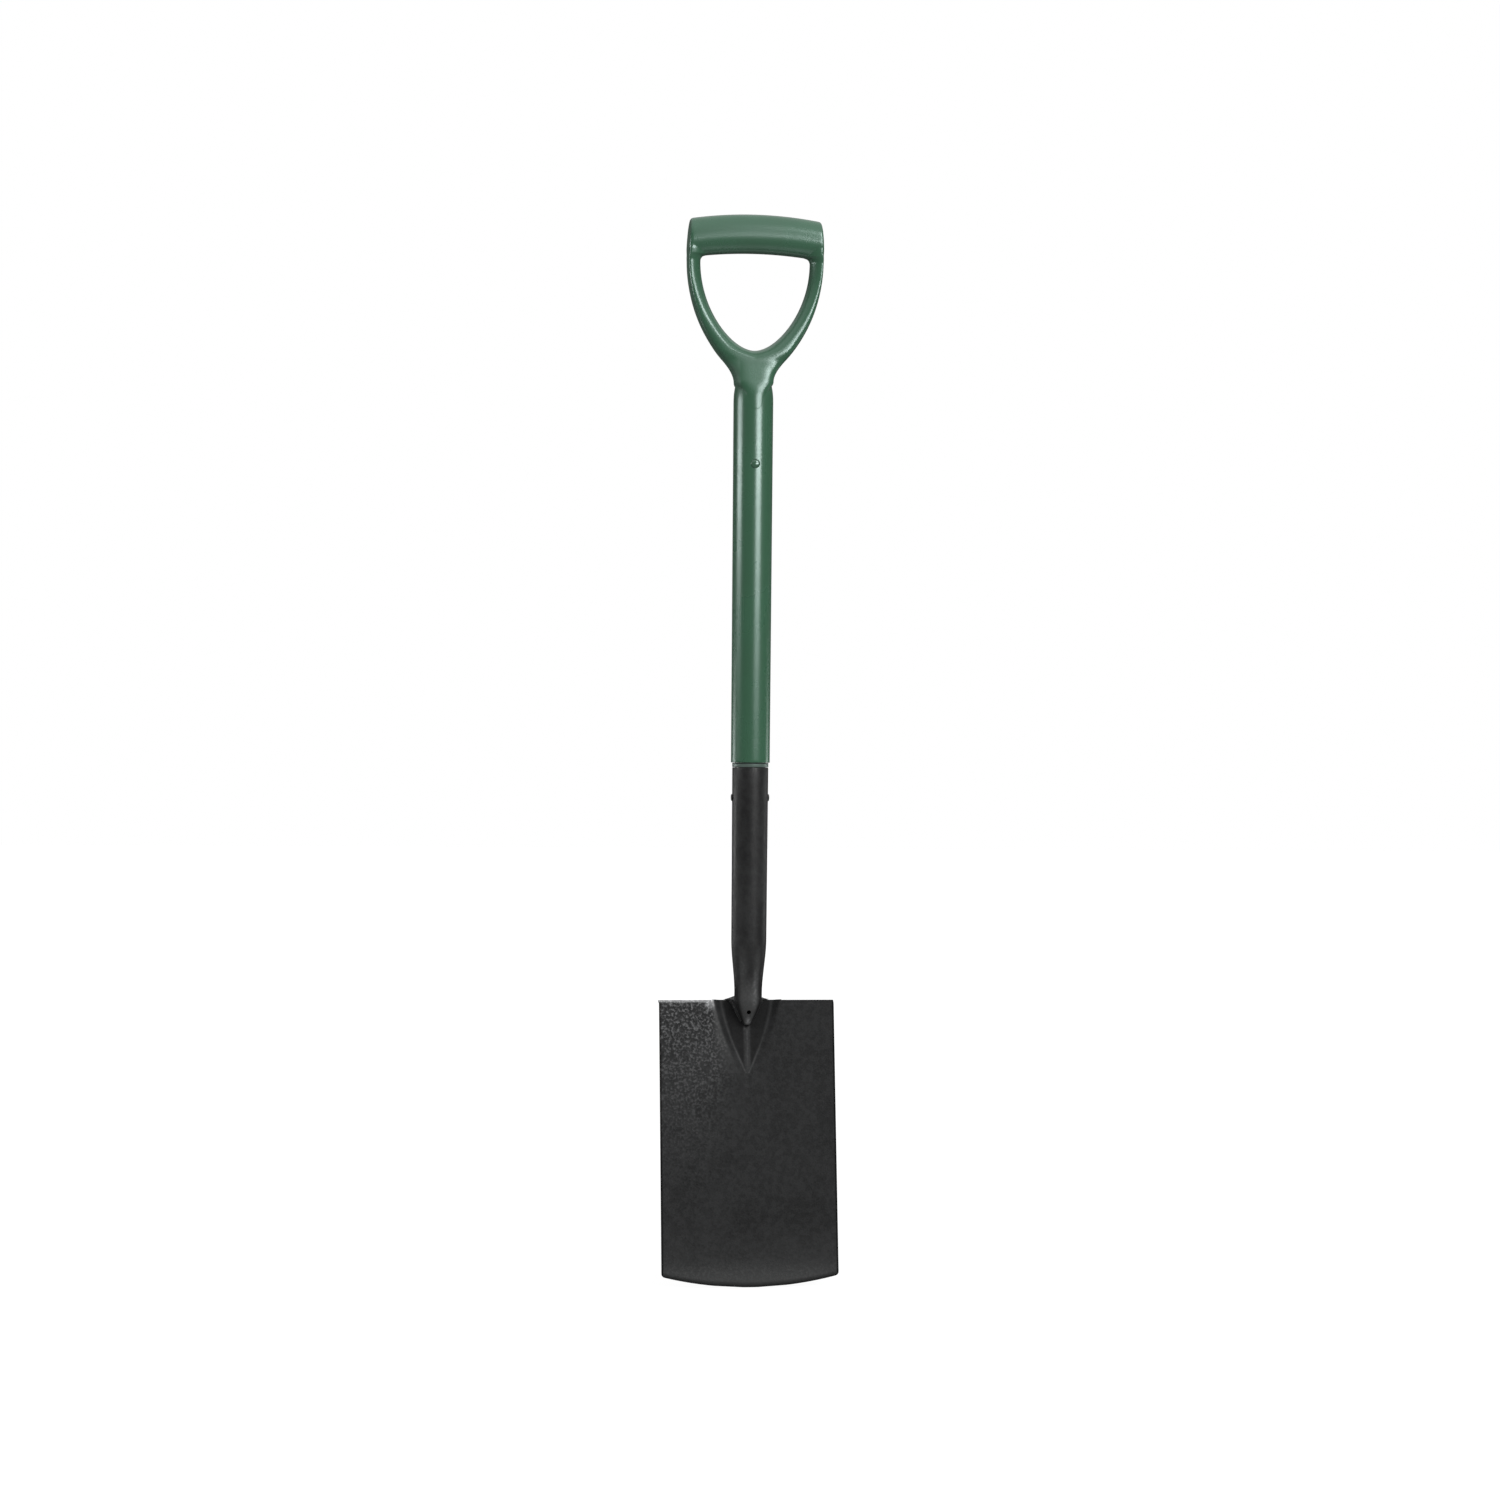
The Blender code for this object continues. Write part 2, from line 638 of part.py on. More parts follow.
def shaft_sleeve(parent, finish):
    """Long sleeve with a domed top that the grip's neck is let into."""
    steps = 9
    profile = []
    for i in range(steps + 1):
        rise = DOME_CUT_HEIGHT * (1 - i / steps)
        shrink = math.sqrt(1 - (rise / DOME_SLOPE_HEIGHT) ** 2)
        profile.append((SLEEVE_RADIUS_TOP * shrink, DOME_Z + rise))
    edge = SLEEVE_END_ROUND
    profile.append((sleeve_radius(SLEEVE_Z + edge), SLEEVE_Z + edge))
    profile.append((SLEEVE_RADIUS_LOW - edge, SLEEVE_Z))
    profile.append((OVER_TUBE, SLEEVE_Z))
    profile.append((OVER_TUBE, TUBE_TOP_Z + SEAT))
    profile.append((TANG_RADIUS + FIT, TUBE_TOP_Z + SEAT))
    profile.append((TANG_RADIUS + FIT, DOME_Z + DOME_CUT_HEIGHT))
    obj = turned("shaft_sleeve", profile, parent, finish)
    boolean(obj, cutter("neck_cutter", neck_cutter_skin(), parent))
    boolean(obj, cross_hole("sleeve_hole", HANDLE_RIVET_SHANK, HANDLE_RIVET_Z, "Y", parent))
    seat = HANDLE_RIVET_HEAD / 2 + FIT
    for name, side in (("front_seat_cutter", -1), ("back_seat_cutter", 1)):
        inner = Vector((0, side * rivet_seat_radius(), HANDLE_RIVET_Z))
        outer = Vector((0, side * (SLEEVE_RADIUS_TOP + 0.01), HANDLE_RIVET_Z))
        boolean(obj, cutter(name, rod(seat, inner, outer), parent))
    return obj


def rivet_seat_radius():
    """Distance from the axis of the flat seats under the handle rivet's heads."""
    return sleeve_radius(HANDLE_RIVET_Z) - HANDLE_RIVET_SEAT


def bar_fall(x):
    """How far the bar has fallen at x from its middle."""
    return BAR_CROWN * (x / (OPENING_HALF_WIDTH - OPENING_CORNER)) ** 2


def powered(value, power):
    return math.copysign(abs(value) ** power, value)


def section(inner, centre, outer, half_depth, roundness, split):
    """One ring of the grip's right half.

    It runs from the front ridge over the outer side to the back ridge and, where split
    is false, on over the inner side to the front again.
    """
    ring = []
    power = 2 / roundness
    for i in range(2 * QUARTER + 1):
        a = math.pi * i / (2 * QUARTER)
        across = powered(math.sin(a), power)
        y = -half_depth * powered(math.cos(a), power)
        x, z = centre + (outer - centre) * across
        ring.append(Vector((x, y, z)))
    if split:
        return ring
    for i in range(1, 2 * QUARTER):
        a = math.pi * i / (2 * QUARTER)
        across = powered(math.sin(a), power)
        y = half_depth * powered(math.cos(a), power)
        x, z = centre + (inner - centre) * across
        ring.append(Vector((x, y, z)))
    return ring


def bar_rings():
    """Rings of the bar, from the middle to the corner."""
    rings = []
    end = OPENING_HALF_WIDTH - OPENING_CORNER
    for i in range(BAR_STEPS):
        x = end * i / BAR_STEPS
        inner = Vector((x, BAR_UNDER_Z - bar_fall(x)))
        outer = Vector((x, BAR_TOP_Z - bar_fall(x)))
        rings.append(section(inner, (inner + outer) / 2, outer, BAR_DEPTH / 2, BAR_ROUNDNESS, False))
    return rings


def corner_rings():
    """Rings that fan round the opening's upper corner, from bar to leg."""
    rings = []
    x = OPENING_HALF_WIDTH - OPENING_CORNER
    corner = Vector((x, BAR_UNDER_Z - bar_fall(x) - OPENING_CORNER))
    reach = GRIP_HALF_WIDTH - x
    height = BAR_TOP_Z - bar_fall(x) - corner.y
    for i in range(CORNER_STEPS):
        a = math.pi / 2 * i / CORNER_STEPS
        inner = corner + Vector((math.sin(a), math.cos(a))) * OPENING_CORNER
        across = math.sin(a) ** 0.5
        up = math.cos(a) ** 0.5
        outer = corner + Vector((reach * across - GRIP_END_LEAN * up * across, height * up))
        depth = BAR_DEPTH + (LEG_DEPTH - BAR_DEPTH) * smoothstep(i / CORNER_STEPS)
        rings.append(section(inner, (inner + outer) / 2, outer, depth / 2, LEG_ROUNDNESS, False))
    return rings


def leg_rings():
    """Rings down a leg, to where the two legs meet under the opening."""
    x = OPENING_HALF_WIDTH - OPENING_CORNER
    top = BAR_UNDER_Z - bar_fall(x) - OPENING_CORNER
    fall = top - CROTCH_Z
    inside = [
        Vector((OPENING_HALF_WIDTH, top)),
        Vector((OPENING_HALF_WIDTH, top - fall * OPENING_SIDE_PULL)),
        Vector((OPENING_HALF_WIDTH * OPENING_FOOT_PULL, CROTCH_Z)),
        Vector((0.0, CROTCH_Z)),
    ]
    outer_fall = top - YOKE_Z
    slope = neck_slope()
    outside = [
        Vector((GRIP_HALF_WIDTH, top)),
        Vector((GRIP_HALF_WIDTH, top - outer_fall * LEG_SIDE_PULL)),
        Vector((YOKE_HALF_WIDTH, YOKE_Z)) + slope * (outer_fall * LEG_FOOT_PULL),
        Vector((YOKE_HALF_WIDTH, YOKE_Z)),
    ]
    meeting = Vector((0.0, RIDGE_Z))
    rings = []
    for i in range(LEG_STEPS + 1):
        t = i / LEG_STEPS
        inner = bezier(*inside, t)
        outer = bezier(*outside, 1 - (1 - t) ** LEG_SPACING)
        centre = (inner + outer) / 2
        centre = centre.lerp(meeting, smoothstep((t - 0.55) / 0.45))
        depth = LEG_DEPTH + (YOKE_DEPTH - LEG_DEPTH) * smoothstep((t - 0.4) / 0.6)
        rings.append(section(inner, centre, outer, depth / 2, LEG_ROUNDNESS, False))
    return rings


def neck_slope():
    """Direction of the neck's outline at the yoke, in XZ, pointing up and out."""
    return Vector((NECK_FLARE, 1.0))


def neck_outline(z):
    """Half width of the neck and tongue at a level."""
    start = Vector((YOKE_HALF_WIDTH, YOKE_Z))
    end = Vector((TONGUE_HALF_WIDTH, DOME_Z - TONGUE_END_DROP * 0.2))
    length = start.y - end.y
    low = end + Vector((0.0, length * NECK_FOOT_PULL))
    high = start - neck_slope() * (length * NECK_FLARE_PULL)
    before, after = 0.0, 1.0
    for _ in range(30):
        t = (before + after) / 2
        if bezier(start, high, low, end, t).y > z:
            before = t
        else:
            after = t
    return bezier(start, high, low, end, t).x


def neck_half_depth(z):
    """Half depth of the neck: it swells to lie just proud of the sleeve."""
    proud = SLEEVE_RADIUS_TOP + TONGUE_PROUD
    start = YOKE_DEPTH / 2
    share = smoothstep((RIDGE_Z - z) / (RIDGE_Z - DOME_Z) * 1.25)
    return start + (proud - start) * share


def neck_roundness(z):
    """Round section at the yoke, squarer towards the tongue."""
    share = smoothstep((RIDGE_Z - z) / (RIDGE_Z - DOME_Z) * 1.1)
    return LEG_ROUNDNESS + (TONGUE_ROUNDNESS - LEG_ROUNDNESS) * share


def neck_section(z, grow=0.0):
    """Half ring of the neck at a level."""
    half = neck_outline(z)
    depth = neck_half_depth(z)
    if z < DOME_Z:
        share = (DOME_Z - z) / TONGUE_END_DROP
        half = max(half * math.sqrt(max(0.0, 1 - share**2)), TONGUE_HALF_WIDTH * 0.2)
    centre = Vector((0.0, z))
    outer = Vector((half + grow, z))
    return section(None, centre, outer, depth + grow, neck_roundness(z), True)


def neck_levels():
    """Levels of the neck's rings, from the yoke down to the tongue's end."""
    top = RIDGE_Z - 0.002
    levels = [top + (DOME_Z - top) * i / NECK_STEPS for i in range(NECK_STEPS + 1)]
    levels += [DOME_Z - TONGUE_END_DROP * share for share in (0.35, 0.65, 0.85, 0.95, 1.0)]
    return levels


def neck_cutter_skin():
    """The neck grown by its clearance, as a closed skin that cuts the sleeve."""
    rings = []
    levels = [z for z in neck_levels() if z < DOME_Z + DOME_CUT_HEIGHT + 0.004]
    levels[-1] -= SEAT
    for z in levels:
        level = max(z, TONGUE_END_Z)
        half = neck_section(level, FIT)
        ring = half + [Vector((-p.x, p.y, p.z)) for p in reversed(half[1:-1])]
        rings.append([Vector((p.x, p.y, z)) for p in ring])
    return loft(rings)


def grip_skin():
    """Right half of the grip, open on the middle plane."""
    whole = bar_rings() + corner_rings() + leg_rings()
    halves = [neck_section(z) for z in neck_levels()]
    bm = bmesh.new()
    around = 4 * QUARTER
    outside = 2 * QUARTER + 1
    rows = [[bm.verts.new(p) for p in ring] for ring in whole + halves]
    for low, high in zip(rows, rows[1:]):
        both_whole = len(low) == around and len(high) == around
        count = around if both_whole else outside - 1
        for i in range(count):
            j = (i + 1) % around
            bm.faces.new((low[i], low[j], high[j], high[i]))
    bm.faces.new(rows[-1])
    for vertex in bm.verts:
        if abs(vertex.co.x) < 1e-6:
            vertex.co.x = 0.0
    return bm


def d_handle(parent, finish):
    """D grip in one moulding: bar, legs, neck, tongues and tang."""
    obj = new_object("d_handle", grip_skin(), parent, finish)
    mirror = obj.modifiers.new("other_half", "MIRROR")
    mirror.use_clip = True
    mirror.merge_threshold = 0.00005
    tang = rod(
        TANG_RADIUS,
        Vector((0, 0, TANG_END_Z)),
        Vector((0, 0, DOME_Z + TANG_TOP_RISE)),
        sides=ROUND,
    )
    boolean(obj, cutter("tang_joiner", tang, parent), "UNION")
    boolean(obj, cross_hole("tang_hole", HANDLE_RIVET_SHANK, HANDLE_RIVET_Z, "Y", parent))
    return obj


def rivet(name, shank, head, rise, reach, z, axis, parent, finish):
    """A rivet with a domed head at each end. Reach is from its middle to under a head."""
    steps = 4
    dome = []
    for i in range(steps + 1):
        a = math.pi / 2 * i / steps
        dome.append((head / 2 * math.sin(a), reach + rise * 0.3 + rise * 0.7 * math.cos(a)))
    dome[0] = (0.0, reach + rise)
    half = dome + [(head / 2, reach), (shank / 2, reach)]
    profile = half + [(radius, -level) for radius, level in reversed(half)]
    obj = turned(name, profile, parent, finish, closed_profile=False)
    turn = Matrix.Rotation(math.pi / 2, 4, "Y" if axis == "X" else "X")
    obj.matrix_local = Matrix.Translation((0, 0, z)) @ turn
    return obj


def socket_rivet(parent, finish):
    """Cross rivet through the socket and the core tube."""
    reach = socket_radius(SOCKET_RIVET_Z) + SEAT
    return rivet(
        "socket_rivet", SOCKET_RIVET_SHANK, SOCKET_RIVET_HEAD, SOCKET_RIVET_RISE,
        reach, SOCKET_RIVET_Z, "X", parent, finish,
    )


def handle_rivet(parent, finish):
    """Rivet through the sleeve, the core tube and the grip's tang."""
    return rivet(
        "handle_rivet", HANDLE_RIVET_SHANK, HANDLE_RIVET_HEAD, HANDLE_RIVET_RISE,
        rivet_seat_radius() + SEAT, HANDLE_RIVET_Z, "Y", parent, finish,
    )


def stand_on_origin(root, pieces):
    """Moves the root so that the origin is the middle of the footprint, at the lowest point."""
    bpy.context.view_layer.update()
    graph = bpy.context.evaluated_depsgraph_get()
    corners = []
    for piece in pieces:
        evaluated = piece.evaluated_get(graph)
        mesh = evaluated.to_mesh()
        corners += [evaluated.matrix_world @ vertex.co for vertex in mesh.vertices]
        evaluated.to_mesh_clear()
    low = Vector([min(corner[i] for corner in corners) for i in range(3)])
    high = Vector([max(corner[i] for corner in corners) for i in range(3)])
    root.location = (-(low.x + high.x) / 2, -(low.y + high.y) / 2, -low.z)


def main():
    clear_scene()
    root = bpy.data.objects.new("spade", None)
    bpy.context.scene.collection.objects.link(root)
    coat = black_coat()
    steel = bare_steel()
    green = green_plastic()
    pieces = [
        blade(root, coat),
        socket(root, coat),
        weld("weld_left", -1, root, coat),
        weld("weld_right", 1, root, coat),
        shaft_tube(root, steel),
        shaft_collar(root, collar_plastic()),
        shaft_sleeve(root, green),
        d_handle(root, green),
        socket_rivet(root, coat),
        handle_rivet(root, green_enamel()),
    ]
    stand_on_origin(root, pieces)


main()
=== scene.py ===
"""A digging spade, dressed for its portrait on a white sweep.

Lengths are in metres. Each piece is drawn about the shaft's axis, with z = 0 at the level of the
cutting edge's middle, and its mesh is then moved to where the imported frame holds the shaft.
"""
import logging
import math
from dataclasses import dataclass, field
from enum import Enum

import bmesh
import bpy
from mathutils import Matrix, Vector


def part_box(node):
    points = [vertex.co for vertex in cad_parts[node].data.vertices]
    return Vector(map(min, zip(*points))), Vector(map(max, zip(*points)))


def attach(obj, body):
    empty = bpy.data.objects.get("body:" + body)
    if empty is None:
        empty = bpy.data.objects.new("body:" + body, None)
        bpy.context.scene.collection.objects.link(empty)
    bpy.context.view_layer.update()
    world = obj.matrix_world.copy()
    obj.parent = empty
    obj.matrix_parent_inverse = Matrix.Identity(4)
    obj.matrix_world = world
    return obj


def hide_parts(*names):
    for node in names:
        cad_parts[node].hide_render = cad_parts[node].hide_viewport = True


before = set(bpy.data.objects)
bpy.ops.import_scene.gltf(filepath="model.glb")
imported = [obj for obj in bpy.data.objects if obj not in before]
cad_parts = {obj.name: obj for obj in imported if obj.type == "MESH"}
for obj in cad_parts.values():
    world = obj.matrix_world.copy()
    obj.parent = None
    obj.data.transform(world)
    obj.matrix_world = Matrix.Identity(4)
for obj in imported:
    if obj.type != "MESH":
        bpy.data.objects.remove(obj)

LOG = logging.getLogger("spade")
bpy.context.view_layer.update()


class Slot(Enum):
    """Material slots of the record."""

    COAT = "black_coat"
    STEEL = "bare_steel"
    GREEN = "green_plastic"
    COLLAR = "collar_plastic"
    ENAMEL = "green_enamel"


class Axis(Enum):
    """The way a rivet lies."""

    ACROSS = "X"
    THROUGH = "Y"


# Curves and meshes


def smoothstep(share: float) -> float:
    """Rises from 0 to 1, level at both ends."""
    share = min(max(share, 0.0), 1.0)
    return share * share * (3 - 2 * share)


def mix(low: float, high: float, share: float) -> float:
    """The value a share of the way from low to high."""
    return low + (high - low) * share


def bezier(a: Vector, b: Vector, c: Vector, d: Vector, t: float) -> Vector:
    """A point of a cubic Bezier curve.

    Args:
        a: where the curve starts.
        b: handle of the start.
        c: handle of the end.
        d: where the curve ends.
        t: share of the way along it.

    Returns:
        The point.
    """
    u = 1 - t
    return a * u**3 + b * (3 * u * u * t) + c * (3 * u * t * t) + d * t**3


def squircle(angle: float, roundness: float) -> tuple[float, float]:
    """A point of a unit superellipse.

    Args:
        angle: direction from its middle.
        roundness: 2 gives a circle, more a squarer shape.

    Returns:
        Its two coordinates, the first 1 and the second 0 at angle 0.
    """
    c, s = math.cos(angle), math.sin(angle)
    radius = (abs(c) ** roundness + abs(s) ** roundness) ** (-1 / roundness)
    return c * radius, s * radius


def circle(radius: float, z: float, y: float, sides: int) -> list[Vector]:
    """A level ring of points about (0, y)."""
    angles = [2 * math.pi * i / sides for i in range(sides)]
    return [Vector((radius * math.cos(a), y + radius * math.sin(a), z)) for a in angles]


def loft(rings: list[list[Vector]], caps: bool = True) -> bmesh.types.BMesh:
    """A skin over rings of equal length.

    Args:
        rings: the rings, in order.
        caps: whether the first and last ring are closed with a face.

    Returns:
        The skin.
    """
    bm = bmesh.new()
    rows = [[bm.verts.new(point) for point in ring] for ring in rings]
    count = len(rows[0])
    for low, high in zip(rows, rows[1:]):
        for i in range(count):
            j = (i + 1) % count
            bm.faces.new((low[i], low[j], high[j], high[i]))
    if caps:
        bm.faces.new(rows[0])
        bm.faces.new(rows[-1])
    bmesh.ops.recalc_face_normals(bm, faces=bm.faces)
    return bm


def rod(radius: float, start: Vector, end: Vector, sides: int = 48) -> bmesh.types.BMesh:
    """A round rod between two points."""
    turn = (end - start).to_track_quat("Z", "Y").to_matrix()
    ring = [turn @ point for point in circle(radius, 0.0, 0.0, sides)]
    return loft([[start + point for point in ring], [end + point for point in ring]])


def new_object(name: str, bm: bmesh.types.BMesh) -> bpy.types.Object:
    """Links a mesh object made from a bmesh, and frees the bmesh."""
    mesh = bpy.data.meshes.new(name)
    bm.to_mesh(mesh)
    bm.free()
    obj = bpy.data.objects.new(name, mesh)
    bpy.context.scene.collection.objects.link(obj)
    return obj


def bake_modifiers(obj: bpy.types.Object) -> bpy.types.Object:
    """Turns an object's modifiers into a plain mesh.

    Args:
        obj: the object.

    Returns:
        The same object, with its evaluated mesh and no modifiers.
    """
    graph = bpy.context.evaluated_depsgraph_get()
    mesh = bpy.data.meshes.new_from_object(obj.evaluated_get(graph), depsgraph=graph)
    obj.modifiers.clear()
    obj.data = mesh
    mesh.name = obj.name
    return obj


def cut(obj: bpy.types.Object, tool: bmesh.types.BMesh) -> bpy.types.Object:
    """Cuts a closed shape out of an object, for good.

    Args:
        obj: the object.
        tool: the shape to cut.

    Returns:
        The cut object.
    """
    helper = new_object(obj.name + "_tool", tool)
    step = obj.modifiers.new("cut", "BOOLEAN")
    step.object = helper
    step.operation = "DIFFERENCE"
    step.solver = "EXACT"
    bake_modifiers(obj)
    bpy.data.objects.remove(helper, do_unlink=True)
    return obj


def round_edges(obj: bpy.types.Object, width: float, angle: float = 40.0, segments: int = 2) -> None:
    """Breaks an object's sharp edges.

    Args:
        obj: the object.
        width: width of the bevel.
        angle: least angle between two faces that counts as sharp, in degrees.
        segments: facets of the bevel.
    """
    bevel = obj.modifiers.new("edges", "BEVEL")
    bevel.width = width
    bevel.segments = segments
    bevel.limit_method = "ANGLE"
    bevel.angle_limit = math.radians(angle)
    bake_modifiers(obj)


@dataclass(frozen=True)
class Datum:
    """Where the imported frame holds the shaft."""

    axis_y: float
    lift: float

    @classmethod
    def from_frame(cls, grip_top: float) -> "Datum":
        """Reads the shaft's place from the frame's boxes.

        Args:
            grip_top: level of the grip's top, as drawn.

        Returns:
            The datum.
        """
        low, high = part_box("shaft_tube")
        return cls((low[1] + high[1]) / 2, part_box("d_handle")[1][2] - grip_top)

    def hand_in(
        self, obj: bpy.types.Object, finish: bpy.types.Material, nodes: list[str], sharp: float = 35.0
    ) -> None:
        """Args:
            obj: the piece, drawn about the shaft's axis.
            finish: its material.
            nodes: the frame's nodes that it stands for.
            sharp: least angle that is shaded as an edge, in degrees.
        """
        mesh = obj.data
        mesh.transform(Matrix.Translation((0, self.axis_y, self.lift)))
        mesh.materials.clear()
        mesh.materials.append(finish)
        mesh.shade_smooth()
        mesh.set_sharp_from_angle(angle=math.radians(sharp))
        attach(obj, "root")
        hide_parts(*nodes)
        LOG.info("%s: %d faces, stands for %s", obj.name, len(mesh.polygons), ", ".join(nodes))


# Node trees


class Tree:
    """A node tree under construction, for geometry or for shading."""

    def __init__(self, tree: bpy.types.NodeTree) -> None:
        """Wraps a tree."""
        self.tree = tree

    def node(self, kind: str, **settings: object) -> bpy.types.Node:
        """Adds a node and sets its properties."""
        made = self.tree.nodes.new(kind)
        for name, value in settings.items():
            setattr(made, name, value)
        return made

    def feed(self, socket: bpy.types.NodeSocket, value: object) -> None:
        """Links a socket to another one, or gives it a fixed value."""
        if isinstance(value, bpy.types.NodeSocket):
            self.tree.links.new(value, socket)
        elif value is not None:
            socket.default_value = value

    def math(self, operation: str, a: object, b: object = None, c: object = None) -> bpy.types.NodeSocket:
        """Adds a Math node.

        Args:
            operation: the node's operation.
            a: socket or number.
            b: socket or number, where it takes two.
            c: socket or number, where it takes three.

        Returns:
            The node's output.
        """
        made = self.node("ShaderNodeMath", operation=operation)
        for socket, value in zip(made.inputs, (a, b, c)):
            self.feed(socket, value)
        return made.outputs[0]

    def noise(self, vector: object, scale: object, detail: float = 2.0, rough: float = 0.5) -> bpy.types.NodeSocket:
        """Adds a Noise Texture and returns its value."""
        made = self.node("ShaderNodeTexNoise")
        self.feed(made.inputs["Vector"], vector)
        self.feed(made.inputs["Scale"], scale)
        made.inputs["Detail"].default_value = detail
        made.inputs["Roughness"].default_value = rough
        return made.outputs["Fac"]

    def spread(self, value: object, low: float, high: float, to_low: object, to_high: object) -> bpy.types.NodeSocket:
        """Maps a range of values to another with a smooth step.

        Args:
            value: the socket to map.
            low: start of its range.
            high: end of its range.
            to_low: what low becomes.
            to_high: what high becomes.

        Returns:
            The mapped value.
        """
        made = self.node("ShaderNodeMapRange", interpolation_type="SMOOTHSTEP")
        for name, setting in (
            ("Value", value),
            ("From Min", low),
            ("From Max", high),
            ("To Min", to_low),
            ("To Max", to_high),
        ):
            self.feed(made.inputs[name], setting)
        return made.outputs["Result"]

    def blend(self, share: object, first: object, second: object) -> bpy.types.NodeSocket:
        """Mixes two colours."""
        made = self.node("ShaderNodeMix", data_type="RGBA")
        self.feed(made.inputs["Factor"], share)
        self.feed(made.inputs["A"], first)
        self.feed(made.inputs["B"], second)
        return made.outputs["Result"]


class ShadingGroups:
    """Shader groups that several finishes share, each built once."""

    def __init__(self) -> None:
        """Builds the groups."""
        self.grain = self._grain()
        self.handling = self._handling()

    @staticmethod
    def _begin(name: str, inputs: list[tuple[str, str, float]], outputs: list[tuple[str, str]]) -> tuple:
        """Starts a shader group with named sockets.

        Args:
            name: the group's name.
            inputs: name, socket type and default of each input.
            outputs: name and socket type of each output.

        Returns:
            The tree wrapper, the input node and the output node.
        """
        group = bpy.data.node_groups.new(name, "ShaderNodeTree")
        for label, kind, default in inputs:
            socket = group.interface.new_socket(label, in_out="INPUT", socket_type=kind)
            if kind == "NodeSocketFloat":
                socket.default_value = default
        for label, kind in outputs:
            group.interface.new_socket(label, in_out="OUTPUT", socket_type=kind)
        tree = Tree(group)
        return tree, tree.node("NodeGroupInput"), tree.node("NodeGroupOutput")

    def _grain(self) -> bpy.types.NodeTree:
        """Surface grain: soft worm-like ridges over a finer pebble, as a height and a mask."""
        inputs = [
            ("Vector", "NodeSocketVector", 0.0),
            ("Ridge Scale", "NodeSocketFloat", 300.0),
            ("Pebble Scale", "NodeSocketFloat", 900.0),
            ("Ridge Share", "NodeSocketFloat", 0.6),
        ]
        tree, given, out = self._begin(
            "surface_grain",
            inputs,
            [("Height", "NodeSocketFloat"), ("Mask", "NodeSocketFloat"), ("Blob", "NodeSocketFloat")],
        )
        ridge = tree.noise(given.outputs["Vector"], given.outputs["Ridge Scale"], 2.5, 0.5)
        worm = tree.math("ABSOLUTE", tree.math("SUBTRACT", ridge, 0.5))
        worm = tree.spread(worm, 0.0, 0.13, 1.0, 0.0)
        pebble = tree.noise(given.outputs["Vector"], given.outputs["Pebble Scale"], 2.0, 0.5)
        pebble = tree.spread(pebble, 0.3, 0.7, 0.0, 1.0)
        share = given.outputs["Ridge Share"]
        rest = tree.math("SUBTRACT", 1.0, share)
        height = tree.math("MULTIPLY_ADD", worm, share, tree.math("MULTIPLY", pebble, rest))
        tree.feed(out.inputs["Height"], height)
        tree.feed(out.inputs["Mask"], worm)
        tree.feed(out.inputs["Blob"], tree.spread(ridge, 0.46, 0.68, 0.0, 1.0))
        return tree.tree

    def _handling(self) -> bpy.types.NodeTree:
        """Marks of handling: broad cloudiness, and fine rub lines along the shaft."""
        inputs = [
            ("Vector", "NodeSocketVector", 0.0),
            ("Cloud Scale", "NodeSocketFloat", 18.0),
            ("Line Scale", "NodeSocketFloat", 700.0),
        ]
        tree, given, out = self._begin(
            "handling_marks", inputs, [("Cloud", "NodeSocketFloat"), ("Lines", "NodeSocketFloat")]
        )
        cloud = tree.noise(given.outputs["Vector"], given.outputs["Cloud Scale"], 3.0, 0.55)
        stretch = tree.node("ShaderNodeMapping")
        stretch.inputs["Scale"].default_value = (1.0, 1.0, 0.035)
        tree.feed(stretch.inputs["Vector"], given.outputs["Vector"])
        lines = tree.noise(stretch.outputs["Vector"], given.outputs["Line Scale"], 2.0, 0.6)
        tree.feed(out.inputs["Cloud"], tree.spread(cloud, 0.3, 0.7, 0.0, 1.0))
        tree.feed(out.inputs["Lines"], tree.spread(lines, 0.52, 0.78, 0.0, 1.0))
        return tree.tree


def principled(name: str) -> tuple[bpy.types.Material, Tree, bpy.types.Node, bpy.types.NodeSocket]:
    """Starts a material.

    Args:
        name: the material's name.

    Returns:
        The material, its tree, its Principled node and its Object coordinates.
    """
    made = bpy.data.materials.new(name)
    made.use_nodes = True
    tree = Tree(made.node_tree)
    shader = made.node_tree.nodes["Principled BSDF"]
    place = tree.node("ShaderNodeTexCoord").outputs["Object"]
    return made, tree, shader, place


